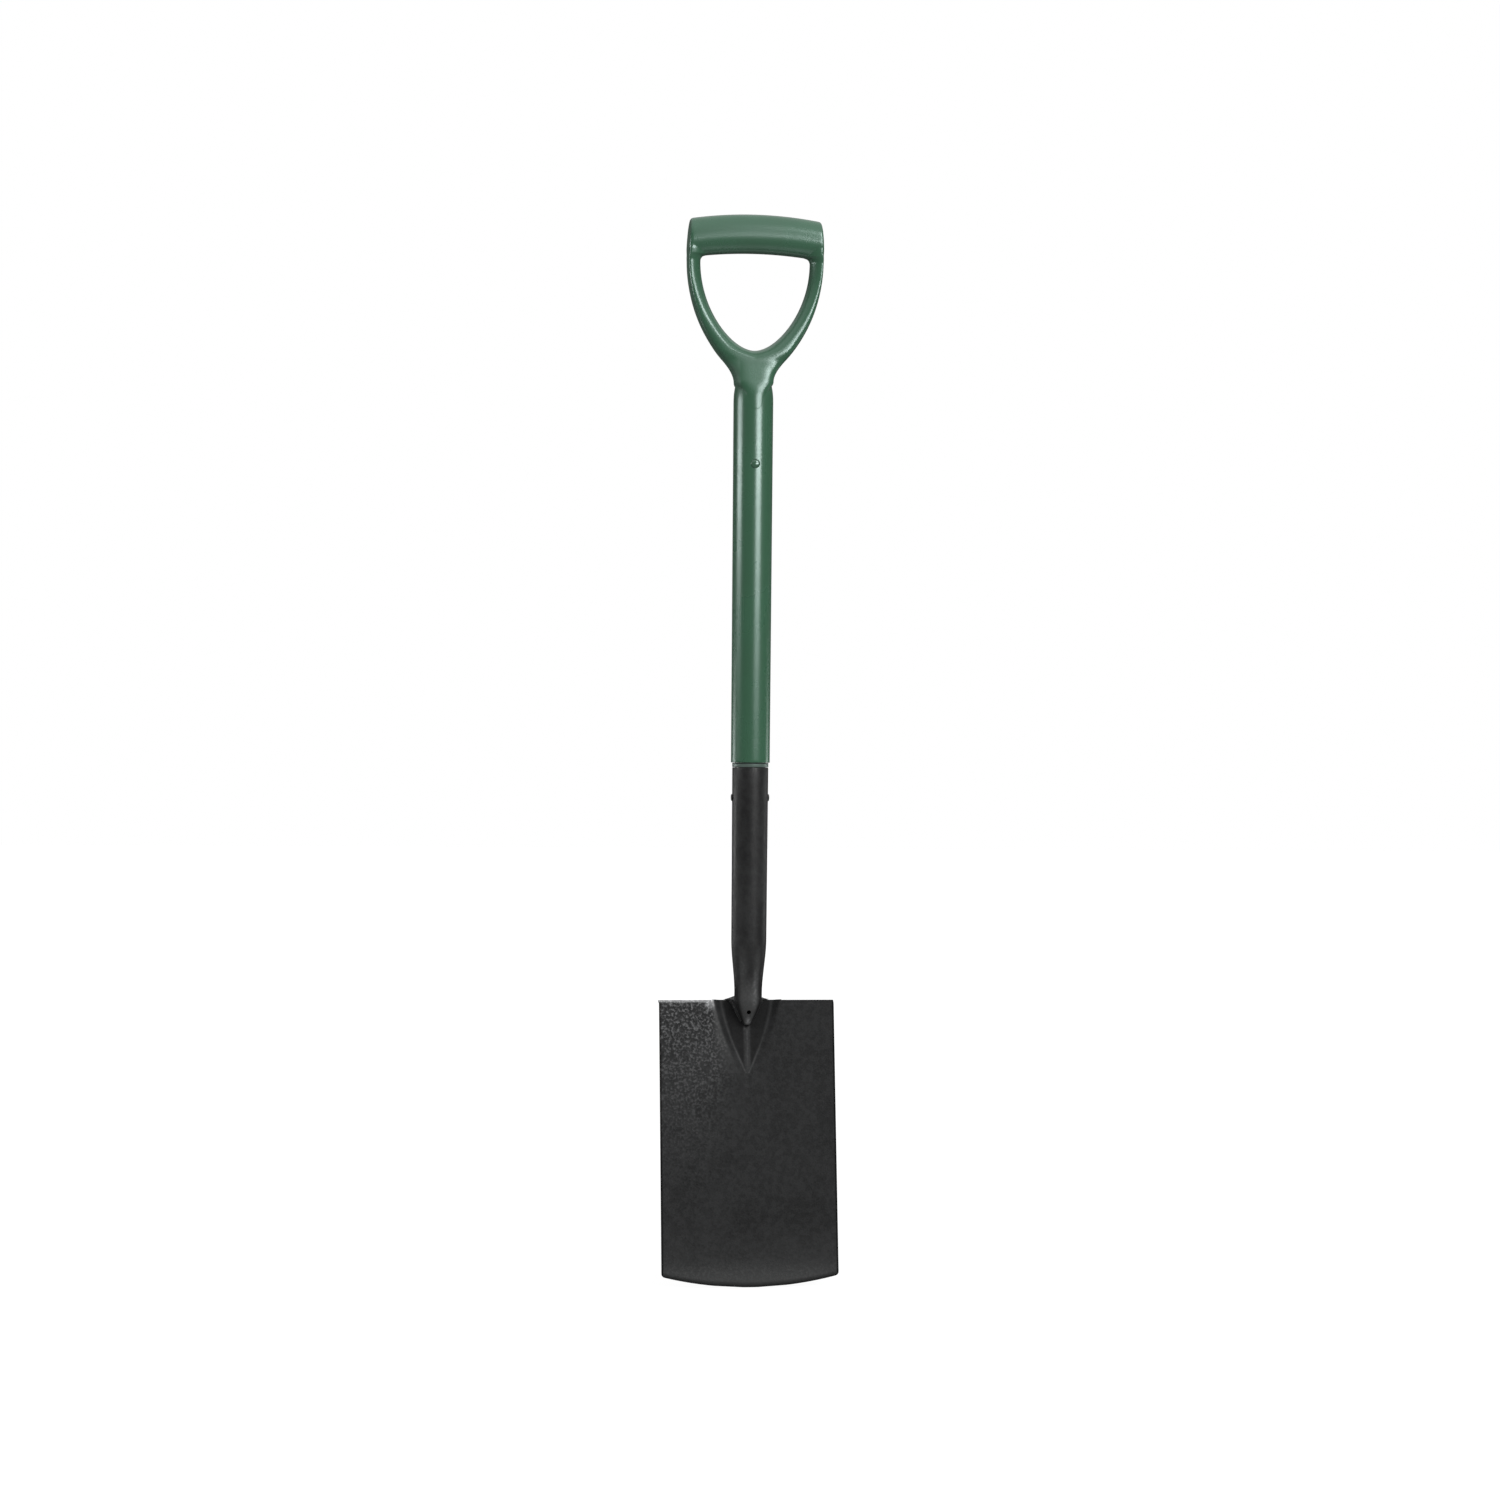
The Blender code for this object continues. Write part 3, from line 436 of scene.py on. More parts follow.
@dataclass(frozen=True)
class PowderCoat:
    """Satin black powder coat with a pebbled, slightly wormy surface."""

    name: str
    colour: tuple[float, float, float] = (0.0125, 0.0128, 0.013)
    pale: tuple[float, float, float] = (0.027, 0.0275, 0.028)
    smooth: float = 0.46
    rough: float = 0.58
    ridge_scale: float = 430.0
    pebble_scale: float = 1150.0
    mottle_scale: float = 170.0
    relief: float = 0.00032
    gloss: float = 0.1
    shade_dull: float = 0.15
    # Painted highlight colours: the glint on the speckled coat, the sheen along creases, rib, toe and the socket's
    # front, and the pale steel-like glint at rims and nose.
    glint: tuple[float, float, float] = (0.082, 0.083, 0.085)
    painted_sheen: tuple[float, float, float] = (0.056, 0.057, 0.057)
    painted_glint: tuple[float, float, float] = (0.44, 0.445, 0.45)

    def material(self, groups: ShadingGroups) -> bpy.types.Material:
        """Builds the material.

        Args:
            groups: the shared shader groups.

        Returns:
            The material.
        """
        made, tree, shader, place = principled(self.name)
        grain = tree.node("ShaderNodeGroup", node_tree=groups.grain)
        tree.feed(grain.inputs["Vector"], place)
        grain.inputs["Ridge Scale"].default_value = self.ridge_scale
        grain.inputs["Pebble Scale"].default_value = self.pebble_scale
        grain.inputs["Ridge Share"].default_value = 0.45
        marks = tree.node("ShaderNodeGroup", node_tree=groups.handling)
        tree.feed(marks.inputs["Vector"], place)
        marks.inputs["Cloud Scale"].default_value = 22.0
        marks.inputs["Line Scale"].default_value = 420.0
        tone = tree.math("MULTIPLY_ADD", marks.outputs["Cloud"], 0.5, tree.math("MULTIPLY", grain.outputs["Mask"], 0.3))
        mottle = tree.spread(tree.noise(place, self.mottle_scale, 3.0, 0.6), 0.42, 0.6, 0.0, 0.4)
        colour = tree.blend(tree.math("ADD", tone, mottle), (*self.colour, 1.0), (*self.pale, 1.0))
        # Painted shade: the shade mark darkens the colour to a third of itself on recess floors, the socket's flanks
        # and the blade's edges.
        shade = tree.node("ShaderNodeAttribute", attribute_name="shade").outputs["Fac"]
        speckle_and_glint = tree.node("ShaderNodeAttribute", attribute_name="speckle_and_glint").outputs["Fac"]
        dark = (*(0.3 * part for part in self.colour), 1.0)
        # Painted glints: the speckle mark lightens blobs of the coat towards the glint colour, besides giving a coarser
        # bump and a glossier coat.
        glint = tree.math("MULTIPLY", speckle_and_glint, grain.outputs["Blob"])
        colour = tree.blend(glint, colour, (*self.glint, 1.0))
        # Painted highlights and a painted floor reflection: this mark lightens the creases, the rib, the toe and the
        # socket's front.
        painted_sheen = tree.node("ShaderNodeAttribute", attribute_name="painted_sheen").outputs["Fac"]
        sheen_share = tree.math("MULTIPLY", painted_sheen, tree.math("MULTIPLY_ADD", grain.outputs["Blob"], 0.5, 0.75))
        colour = tree.blend(sheen_share, colour, (*self.painted_sheen, 1.0))
        # Painted glints: this mark lightens the left tread's rim, the recess's top corner and the socket's nose to a
        # pale steel-like colour.
        bright = tree.node("ShaderNodeAttribute", attribute_name="bright").outputs["Fac"]
        painted_glint = tree.math("MULTIPLY", bright, tree.math("MULTIPLY_ADD", grain.outputs["Blob"], 0.6, 0.5))
        colour = tree.blend(painted_glint, tree.blend(shade, colour, dark), (*self.painted_glint, 1.0))
        tree.feed(shader.inputs["Base Color"], colour)
        tree.feed(shader.inputs["Coat Weight"], tree.math("MULTIPLY", glint, 0.8))
        shader.inputs["Coat Roughness"].default_value = 0.32
        dull = tree.math("MULTIPLY_ADD", marks.outputs["Cloud"], self.rough - self.smooth, self.smooth)
        dull = tree.math("MULTIPLY_ADD", marks.outputs["Lines"], 0.05, dull)
        dull = tree.math("MULTIPLY_ADD", shade, self.shade_dull, dull)
        tree.feed(shader.inputs["Roughness"], tree.math("MULTIPLY_ADD", speckle_and_glint, -0.14, dull))
        bump = tree.node("ShaderNodeBump")
        bump.inputs["Strength"].default_value = 0.85
        bump.inputs["Distance"].default_value = self.relief
        share = tree.math("MULTIPLY_ADD", speckle_and_glint, 0.5, 0.5)
        tree.feed(bump.inputs["Height"], tree.math("MULTIPLY", grain.outputs["Height"], share))
        tree.feed(shader.inputs["Normal"], bump.outputs["Normal"])
        tree.feed(shader.inputs["Coat Normal"], bump.outputs["Normal"])
        shader.inputs["IOR"].default_value = 1.5
        shader.inputs["Specular IOR Level"].default_value = self.gloss
        return made


@dataclass(frozen=True)
class MouldedPlastic:
    """Coloured moulded plastic with faint flow marks and rub lines."""

    name: str
    colour: tuple[float, float, float]
    deep: tuple[float, float, float]
    roughness: float = 0.255
    variation: float = 0.05
    relief: float = 0.000003
    gloss: float = 1.0
    tint: tuple[float, float, float] = (0.84, 1.0, 0.97)

    def material(self, groups: ShadingGroups) -> bpy.types.Material:
        """Builds the material.

        Args:
            groups: the shared shader groups.

        Returns:
            The material.
        """
        made, tree, shader, place = principled(self.name)
        marks = tree.node("ShaderNodeGroup", node_tree=groups.handling)
        tree.feed(marks.inputs["Vector"], place)
        marks.inputs["Cloud Scale"].default_value = 26.0
        marks.inputs["Line Scale"].default_value = 520.0
        grain = tree.node("ShaderNodeGroup", node_tree=groups.grain)
        tree.feed(grain.inputs["Vector"], place)
        grain.inputs["Ridge Scale"].default_value = 150.0
        grain.inputs["Pebble Scale"].default_value = 900.0
        grain.inputs["Ridge Share"].default_value = 0.15
        tone = tree.math("MULTIPLY_ADD", marks.outputs["Lines"], 0.35, tree.math("MULTIPLY", marks.outputs["Cloud"], 0.65))
        colour = tree.blend(tone, (*self.colour, 1.0), (*self.deep, 1.0))
        # Painted shade: this band darkens the colour in the collar's joint and the neck's crease, and also roughens the
        # plastic.
        painted_shade_band = tree.node("ShaderNodeAttribute", attribute_name="painted_shade_band").outputs["Fac"]
        dark = (*(0.1 * part for part in self.deep), 1.0)
        tree.feed(shader.inputs["Base Color"], tree.blend(tree.math("POWER", painted_shade_band, 4.0), colour, dark))
        dull = tree.math("MULTIPLY_ADD", marks.outputs["Cloud"], self.variation, self.roughness)
        dull = tree.math("MULTIPLY_ADD", marks.outputs["Lines"], self.variation * 0.6, dull)
        tree.feed(shader.inputs["Roughness"], tree.math("MULTIPLY_ADD", painted_shade_band, 0.55, dull))
        bump = tree.node("ShaderNodeBump")
        bump.inputs["Strength"].default_value = 0.6
        bump.inputs["Distance"].default_value = self.relief
        tree.feed(bump.inputs["Height"], grain.outputs["Height"])
        tree.feed(shader.inputs["Normal"], bump.outputs["Normal"])
        shader.inputs["IOR"].default_value = 1.5
        shader.inputs["Specular IOR Level"].default_value = self.gloss
        shader.inputs["Specular Tint"].default_value = (*self.tint, 1.0)
        return made


@dataclass(frozen=True)
class BareSteel:
    """Drawn steel tube, uncoated inside the shaft."""

    name: str
    colour: tuple[float, float, float] = (0.42, 0.42, 0.41)
    stained: tuple[float, float, float] = (0.27, 0.26, 0.245)

    def material(self, groups: ShadingGroups) -> bpy.types.Material:
        """Builds the material.

        Args:
            groups: the shared shader groups.

        Returns:
            The material.
        """
        made, tree, shader, place = principled(self.name)
        marks = tree.node("ShaderNodeGroup", node_tree=groups.handling)
        tree.feed(marks.inputs["Vector"], place)
        tree.feed(
            shader.inputs["Base Color"],
            tree.blend(marks.outputs["Cloud"], (*self.colour, 1.0), (*self.stained, 1.0)),
        )
        tree.feed(shader.inputs["Roughness"], tree.math("MULTIPLY_ADD", marks.outputs["Lines"], 0.2, 0.3))
        shader.inputs["Metallic"].default_value = 1.0
        return made


# The blade


@dataclass
class Blade:
    """The pressed blade: flat sheet, folded treads, recess and rib."""

    length: float = 0.2802
    width: float = 0.174
    sheet: float = 0.002
    lift: float = math.radians(9.6)
    set_back: float = 0.0117
    edge_arch: float = 0.0109
    edge_corner: float = 0.003
    tread_depth: float = 0.0125
    tread_bend: float = 0.004
    tread_shoulder: float = 0.0015
    tread_notch: float = 0.0004
    tread_corner: float = 0.004
    floor_half: float = 0.0255
    floor_length: float = 0.075
    wall: float = 0.008
    toe: float = 0.018
    curve: float = 1.4
    depth: float = 0.0042
    rib_half_width: float = 0.0044
    rib_height: float = 0.0027
    rib_start_gap: float = 0.0010
    rib_length: float = 0.051
    nose_length: float = 0.0238
    edge_round: float = 0.0005
    rib_steps: int = 7
    floor_steps: int = 6
    wall_steps: int = 10
    plane_steps: int = 14

    @property
    def tread_z(self) -> float:
        """Level of the treads."""
        return self.length * math.cos(self.lift)

    @property
    def outer_half(self) -> float:
        """Half width of the recess over its walls, at the tread."""
        return self.floor_half + self.wall

    @property
    def outer_length(self) -> float:
        """Length of the recess, its walls included."""
        return self.floor_length + self.toe

    @property
    def bend(self) -> float:
        """Outside radius of the fold into a tread."""
        return self.tread_bend + self.sheet

    @property
    def tread_column(self) -> int:
        """Grid line at which each tread starts."""
        return self.rib_steps + self.floor_steps + self.wall_steps + 1

    def point(self, u: float, v: float, w: float) -> Vector:
        """A point of the blade: u across, v down from the tread, w behind its front face."""
        down = Vector((0, -math.sin(self.lift), -math.cos(self.lift)))
        back = Vector((0, math.cos(self.lift), -math.sin(self.lift)))
        return Vector((u, self.set_back, self.tread_z)) + down * v + back * w

    def crease(self, v: float, half: float, length: float) -> float:
        """Half width of a crease of the recess at v."""
        return half * max(0.0, 1 - (max(v, 0.0) / length) ** self.curve)

    def inner_half(self, v: float) -> float:
        """Half width of the recess's floor at v."""
        return self.crease(v, self.floor_half, self.floor_length)

    def rib_half(self, v: float) -> float:
        """Half width of the rib at v."""
        return min(self.rib_half_width, self.inner_half(v) + 0.0004)

    def floor_depth(self, v: float) -> float:
        """Depth of the recess's floor behind the blade's face at v."""
        return self.depth * max(0.0, 1 - (max(v, 0.0) / self.outer_length) ** 2)

    def pressed(self, u: float, v: float) -> float:
        """Depth of the sheet behind the blade's face, rib included.

        Args:
            u: distance across from the middle.
            v: distance down from the tread.

        Returns:
            The depth.
        """
        u = abs(u)
        inner = self.inner_half(v)
        outer = self.crease(v, self.outer_half, self.outer_length)
        if u >= outer:
            return 0.0
        depth = self.floor_depth(v)
        if u > inner:
            depth *= 1 - smoothstep((u - inner) / (outer - inner))
        along = v - self.nose_length / math.cos(self.lift) - self.rib_start_gap
        if u < self.rib_half(v) and 0 < along < self.rib_length:
            ends = smoothstep(along / 0.006) * smoothstep((self.rib_length - along) / 0.012)
            depth -= min(self.rib_height, depth) * ends * (1 - smoothstep(u / self.rib_half(v)))
        return depth

    def edge_drop(self, u: float) -> float:
        """How much shorter the blade is at u than in its middle."""
        half = self.width / 2
        radius = (half**2 + self.edge_arch**2) / (2 * self.edge_arch)
        drop = radius - math.sqrt(radius**2 - u**2)
        past = u - (half - self.edge_corner)
        if past > 0:
            drop += self.edge_corner - math.sqrt(max(self.edge_corner**2 - past**2, 0.0))
        return drop

    def columns(self, v: float) -> list[float]:
        """Distances from the middle of the grid lines at v, which follow the creases."""
        inner = self.inner_half(v)
        wall = self.crease(v, self.outer_half, self.outer_length) - inner
        rib = self.rib_half(v)
        follow = [rib * (i + 1) / self.rib_steps for i in range(self.rib_steps)]
        follow += [mix(rib, inner, (i + 1) / self.floor_steps) for i in range(self.floor_steps)]
        follow += [inner + wall * (i + 1) / self.wall_steps for i in range(self.wall_steps)]
        least = 0.00035
        columns = [0.0]
        for wanted in follow:
            columns.append(max(wanted, columns[-1] + least))
        half = self.width / 2
        start = self.outer_half + self.tread_shoulder
        flat_end = half - max(self.edge_corner, self.tread_corner)
        columns += [mix(start, flat_end, i / self.plane_steps) for i in range(self.plane_steps + 1)]
        columns += [half - self.edge_corner * share for share in (0.75, 0.5, 0.25, 0.1, 0.03)]
        columns.append(half)
        return columns

    def rows(self) -> list[float]:
        """Distances of the grid's rows from the fold to the cutting edge."""
        recess_rows = 66
        plain_rows = 34
        rows = [mix(self.bend, self.outer_length, i / recess_rows) for i in range(recess_rows)]
        return rows + [mix(self.outer_length, self.length, i / plain_rows) for i in range(plain_rows + 1)]

    def half_sheet(self) -> bmesh.types.BMesh:
        """The right half of the front face, with its tread."""
        bm = bmesh.new()
        grid = []
        for v in self.rows():
            share = max(0.0, (v - self.outer_length) / (self.length - self.outer_length))
            grid.append(
                [
                    bm.verts.new(self.point(u, v - share * self.edge_drop(u), self.pressed(u, v)))
                    for u in self.columns(v)
                ]
            )
        for high, low in zip(grid, grid[1:]):
            for j in range(len(high) - 1):
                bm.faces.new((high[j], high[j + 1], low[j + 1], low[j]))
        self.add_recess_top(bm, grid[0])
        self.add_tread(bm, grid[0])
        return bm

    def add_recess_top(self, bm: bmesh.types.BMesh, first_row: list) -> None:
        """Carries the sheet straight up between the treads.

        Args:
            bm: the sheet.
            first_row: the vertices it starts from.
        """
        high = first_row[: self.tread_column + 1]
        steps = 6
        for k in range(1, steps + 1):
            v = self.bend * (1 - k / steps)
            columns = self.columns(v)[: self.tread_column + 1]
            columns[-1] -= self.tread_notch * k / steps
            row = [bm.verts.new(self.point(u, v, self.pressed(u, v))) for u in columns]
            for j in range(self.tread_column):
                bm.faces.new((row[j], row[j + 1], high[j + 1], high[j]))
            high = row

    def add_tread(self, bm: bmesh.types.BMesh, first_row: list) -> None:
        """Folds the sheet to the back outside the recess.

        Args:
            bm: the sheet.
            first_row: the vertices it starts from.
        """
        high = first_row[self.tread_column :]
        columns = self.columns(self.bend)[self.tread_column :]
        arc_steps = 10
        arc = [math.pi / 2 * k / arc_steps for k in range(1, arc_steps + 1)]
        path = [(self.bend * (1 - math.sin(a)), self.bend * (1 - math.cos(a)), False) for a in arc]
        path += [(0.0, mix(self.bend, self.tread_depth, share), share == 1.0) for share in (0.5, 1.0)]
        for v, w, last in path:
            row = []
            for u in columns:
                past = max(0.0, u - (self.width / 2 - self.tread_corner))
                trim = self.tread_corner - math.sqrt(max(self.tread_corner**2 - past**2, 0.0))
                row.append(bm.verts.new(self.point(u, v, w - trim if last else min(w, self.tread_depth - trim - 0.0003))))
            for j in range(len(row) - 1):
                bm.faces.new((row[j], row[j + 1], high[j + 1], high[j]))
            high = row

    def build(self, datum: Datum, coat: bpy.types.Material) -> None:
        """Builds and dresses the blade.

        Args:
            datum: where the shaft stands.
            coat: the black coat.
        """
        bm = self.half_sheet()
        bmesh.ops.recalc_face_normals(bm, faces=bm.faces)
        bm.faces.ensure_lookup_table()
        if bm.faces[0].normal.y > 0:
            bmesh.ops.reverse_faces(bm, faces=bm.faces)
        obj = new_object("pressed_blade", bm)
        mirror = obj.modifiers.new("other_half", "MIRROR")
        mirror.use_clip = True
        mirror.merge_threshold = 0.00001
        wall = obj.modifiers.new("sheet", "SOLIDIFY")
        wall.thickness = self.sheet
        wall.offset = -1.0
        wall.use_even_offset = True
        bake_modifiers(obj)
        round_edges(obj, self.edge_round, 55.0)
        self.mark(obj.data)
        datum.hand_in(obj, coat, ["blade"], 40.0)

    def mark(self, mesh: bpy.types.Mesh) -> None:
        """Writes the painted light and shade on the blade's coat.

        It has painted shade on the recess's floor and at the right tread's rim, a painted dark line round the blade's
        edge, a coarser coat with painted glints at the upper left, painted highlights along the creases, the rib, the
        left tread's rim and its corner, and a painted floor reflection towards the toe.

        Args:
            mesh: the blade's mesh.
        """
        shade = mesh.attributes.new("shade", "FLOAT", "POINT")
        speckle_and_glint = mesh.attributes.new("speckle_and_glint", "FLOAT", "POINT")
        painted_sheen = mesh.attributes.new("painted_sheen", "FLOAT", "POINT")
        bright = mesh.attributes.new("bright", "FLOAT", "POINT")
        for i, vertex in enumerate(mesh.vertices):
            u = max(-self.width / 2, min(self.width / 2, vertex.co.x))
            v = max(0.0, (self.tread_z - vertex.co.z) / math.cos(self.lift))
            inner = self.inner_half(v)
            outer = self.crease(v, self.outer_half, self.outer_length)
            on_rib = 1 - smoothstep((abs(u) - self.rib_half_width * 0.5) / 0.0025)
            on_rib *= smoothstep((v - self.nose_length) / 0.004)
            floor = smoothstep((inner - abs(u)) / 0.0016)
            behind = smoothstep((vertex.co.y - self.point(u, v, 0.0).y - 0.004) / 0.004)
            # Painted shade on the recess's floor and the right tread's rim, and a painted dark line along the sides and
            # the cutting edge.
            right_rim = smoothstep((u - outer) / 0.004) * (1 - smoothstep(v / 0.0035)) * (1 - 0.7 * behind)
            side = smoothstep((abs(u) - self.width / 2 + 0.0022) / 0.001)
            tip = smoothstep((v - self.length + self.edge_drop(u) + 0.0022) / 0.001)
            shade.data[i].value = max(0.6 * floor * (1 - on_rib), right_rim, side, tip)
            # Painted highlights on the left tread's rim and the recess's top corner.
            left_rim = smoothstep((-u - outer) / 0.002) * (1 - smoothstep((v - 0.0016) / 0.002))
            corner = smoothstep((-u - outer + 0.0012) / 0.0016) * (1 - smoothstep((-u - outer - 0.004) / 0.006))
            corner *= 1 - smoothstep((v - 0.002) / 0.011)
            bright.data[i].value = max(left_rim * (1 - 0.75 * behind), corner)
            # Painted glints, with the coarser coat, at the upper left.
            edge = mix(0.003, 0.06, smoothstep((v - 0.5 * self.outer_length) / (0.6 * self.outer_length)))
            left = smoothstep((-u - outer + 0.001) / edge)
            speckle_and_glint.data[i].value = left * math.exp(-((v / 0.085) ** 1.2))
            # Painted highlights along the creases and the rib, and a painted floor reflection towards the toe.
            crease = math.exp(-(((abs(u) - inner) / 0.0011) ** 2)) if inner > 0.001 else 0.0
            crease *= 1.0 if u < 0 else mix(0.5, 1.0, smoothstep(v / self.floor_length * 2 - 0.8))
            left_crease = math.exp(-(((-u - outer) / 0.0016) ** 2)) * (1 - smoothstep(v / self.outer_length))
            toe = 0.45 * smoothstep(v / self.length * 4 - 3) + 0.75 * smoothstep(v / self.length * 12 - 10.8)
            crease *= mix(0.5, 0.95, smoothstep((v - 0.04) / 0.02))
            sheen_share = max(crease, 1.4 * left_crease, toe, 0.75 * on_rib * floor)
            painted_sheen.data[i].value = sheen_share


# The socket and its welds


@dataclass
class Socket:
    """The steel socket: it draws in above the tread and ends in a closed nose."""

    blade: Blade
    tube_radius: float = 0.015
    fit: float = 0.0003
    wall_rim: float = 0.00245
    wall_low: float = 0.002
    rim_round: float = 0.0008
    parallel: float = 0.1691
    draw: float = 0.053
    foot_length: float = 0.0072
    foot_diameter: float = 0.0272
    nose_diameter: float = 0.0078
    nose_taper: float = 1.3
    nose_bore: float = 0.0135
    drain_diameter: float = 0.0042
    drain_drop: float = 0.0113
    sides: int = 96

    @property
    def draw_end_z(self) -> float:
        """Level where the foot starts."""
        return self.blade.tread_z + self.foot_length

    @property
    def draw_top_z(self) -> float:
        """Level where the socket starts to draw in."""
        return self.draw_end_z + self.draw

    @property
    def rim_z(self) -> float:
        """Level of the rim."""
        return self.draw_top_z + self.parallel

    @property
    def bore(self) -> float:
        """Radius of the bore over the core tube."""
        return self.tube_radius + self.fit

    def radius(self, z: float) -> float:
        """Outer radius at a level."""
        foot = self.foot_diameter / 2
        low = self.bore + self.wall_low
        if z >= self.draw_top_z:
            return mix(low, self.bore + self.wall_rim, (z - self.draw_top_z) / self.parallel)
        if z >= self.blade.tread_z:
            return mix(foot, low, smoothstep((z - self.draw_end_z) / self.draw))
        share = min(1.0, (self.blade.tread_z - z) / self.blade.nose_length)
        return foot - (foot - self.nose_diameter / 2) * share**self.nose_taper

    def floor_y(self, z: float) -> float:
        """Y of the recess's floor at a level near the tread."""
        lift = self.blade.lift
        fall = self.blade.tread_z - z
        depth = self.blade.floor_depth(max(0.0, fall / math.cos(lift)))
        v = max(0.0, (fall - depth * math.sin(lift)) / math.cos(lift))
        return self.blade.point(0.0, v, self.blade.floor_depth(v)).y

    def middle_y(self, z: float) -> float:
        """Y of the socket's middle at a level: the foot lies back into the recess."""
        play = self.fit / math.cos(self.blade.lift)
        tread_z = self.blade.tread_z
        if z <= tread_z:
            return self.floor_y(z) - play - self.radius(z)
        lean = self.floor_y(tread_z) - play - self.foot_diameter / 2
        return lean * (1 - smoothstep((z - tread_z) / (self.draw_top_z - tread_z)))

    def ring(self, z: float, shrink: float = 0.0) -> list[Vector]:
        """A ring of the socket at a level, shrunk for the bore."""
        return circle(self.radius(z) - shrink, z, self.middle_y(z), self.sides)

    def build(self, datum: Datum, coat: bpy.types.Material) -> None:
        """Builds and dresses the socket.

        Args:
            datum: where the shaft stands.
            coat: the black coat.
        """
        tread_z = self.blade.tread_z
        tip_z = tread_z - self.blade.nose_length
        rounding = self.nose_diameter * 0.12
        tip_y = self.middle_y(tip_z)
        rings = []
        for k in range(3):
            a = math.pi / 2 * k / 3
            radius = self.nose_diameter / 2 - rounding * (1 - math.sin(a)) - (0.0012 if k == 0 else 0.0)
            rings.append(circle(radius, tip_z - rounding * math.cos(a), tip_y + rounding * math.cos(a), self.sides))
        nose_steps = 22
        draw_steps = 34
        plain_steps = 12
        rings += [self.ring(mix(tip_z, tread_z, i / nose_steps)) for i in range(nose_steps + 1)]
        rings += [self.ring(mix(tread_z, self.draw_top_z, i / draw_steps)) for i in range(1, draw_steps + 1)]
        top = self.rim_z - self.rim_round
        rings += [self.ring(mix(self.draw_top_z, top, i / plain_steps)) for i in range(1, plain_steps + 1)]
        for k in range(1, 5):
            a = math.pi / 2 * k / 4
            radius = self.bore + self.wall_rim - self.rim_round * (1 - math.cos(a))
            rings.append(circle(radius, top + self.rim_round * math.sin(a), 0.0, self.sides))
        rings.append(circle(self.bore, self.rim_z, 0.0, self.sides))
        rings.append(circle(self.bore, self.draw_top_z, 0.0, self.sides))
        bore_end = tread_z - self.nose_bore
        steps = 20
        rings += [self.ring(mix(self.draw_top_z, bore_end, i / steps), self.wall_low) for i in range(1, steps + 1)]
        obj = new_object("draw_in_socket", loft(rings))
        hole_z = tread_z - self.drain_drop
        middle = self.middle_y(hole_z)
        start = Vector((0, middle - self.foot_diameter, hole_z))
        cut(obj, rod(self.drain_diameter / 2, start, Vector((0, middle, hole_z))))
        self.mark(obj.data)
        datum.hand_in(obj, coat, ["socket"], 40.0)

    def mark(self, mesh: bpy.types.Mesh) -> None:
        """Writes the painted light and shade on the foot: painted shade on its flanks, a painted highlight along its
        front, and painted glints at the nose and down its right side.

        Args:
            mesh: the socket's mesh.
        """
        shade = mesh.attributes.new("shade", "FLOAT", "POINT")
        painted_sheen = mesh.attributes.new("painted_sheen", "FLOAT", "POINT")
        bright = mesh.attributes.new("bright", "FLOAT", "POINT")
        tread_z = self.blade.tread_z
        for i, vertex in enumerate(mesh.vertices):
            x, y, z = vertex.co
            across = x / self.radius(z)
            # Painted glints at the nose and in a streak down the right side.
            nose = math.exp(-((x / 0.0022) ** 2) - ((z - tread_z + 0.0205) / 0.0035) ** 4)
            edge = math.exp(-(((x - 0.0052) / 0.0018) ** 2) - ((z - tread_z - 0.012) / 0.017) ** 4)
            bright.data[i].value = 0.45 * nose + 0.16 * edge
            # Painted shade on the foot's flanks.
            low = smoothstep((self.draw_top_z - 0.03 - z) / 0.022)
            shade.data[i].value = low * smoothstep((abs(across + 0.03) - 0.69) / 0.13)
            # Painted highlight along the lit front of the foot.
            front = 1.0 if y < self.middle_y(z) else 0.0
            early = 0.75 * smoothstep((self.draw_top_z + 0.004 - z) / 0.03) * smoothstep((abs(across) - 0.05) / 0.45)
            painted_sheen.data[i].value = max(low, early) * front * (1 - smoothstep((abs(across + 0.03) - 0.56) / 0.16))


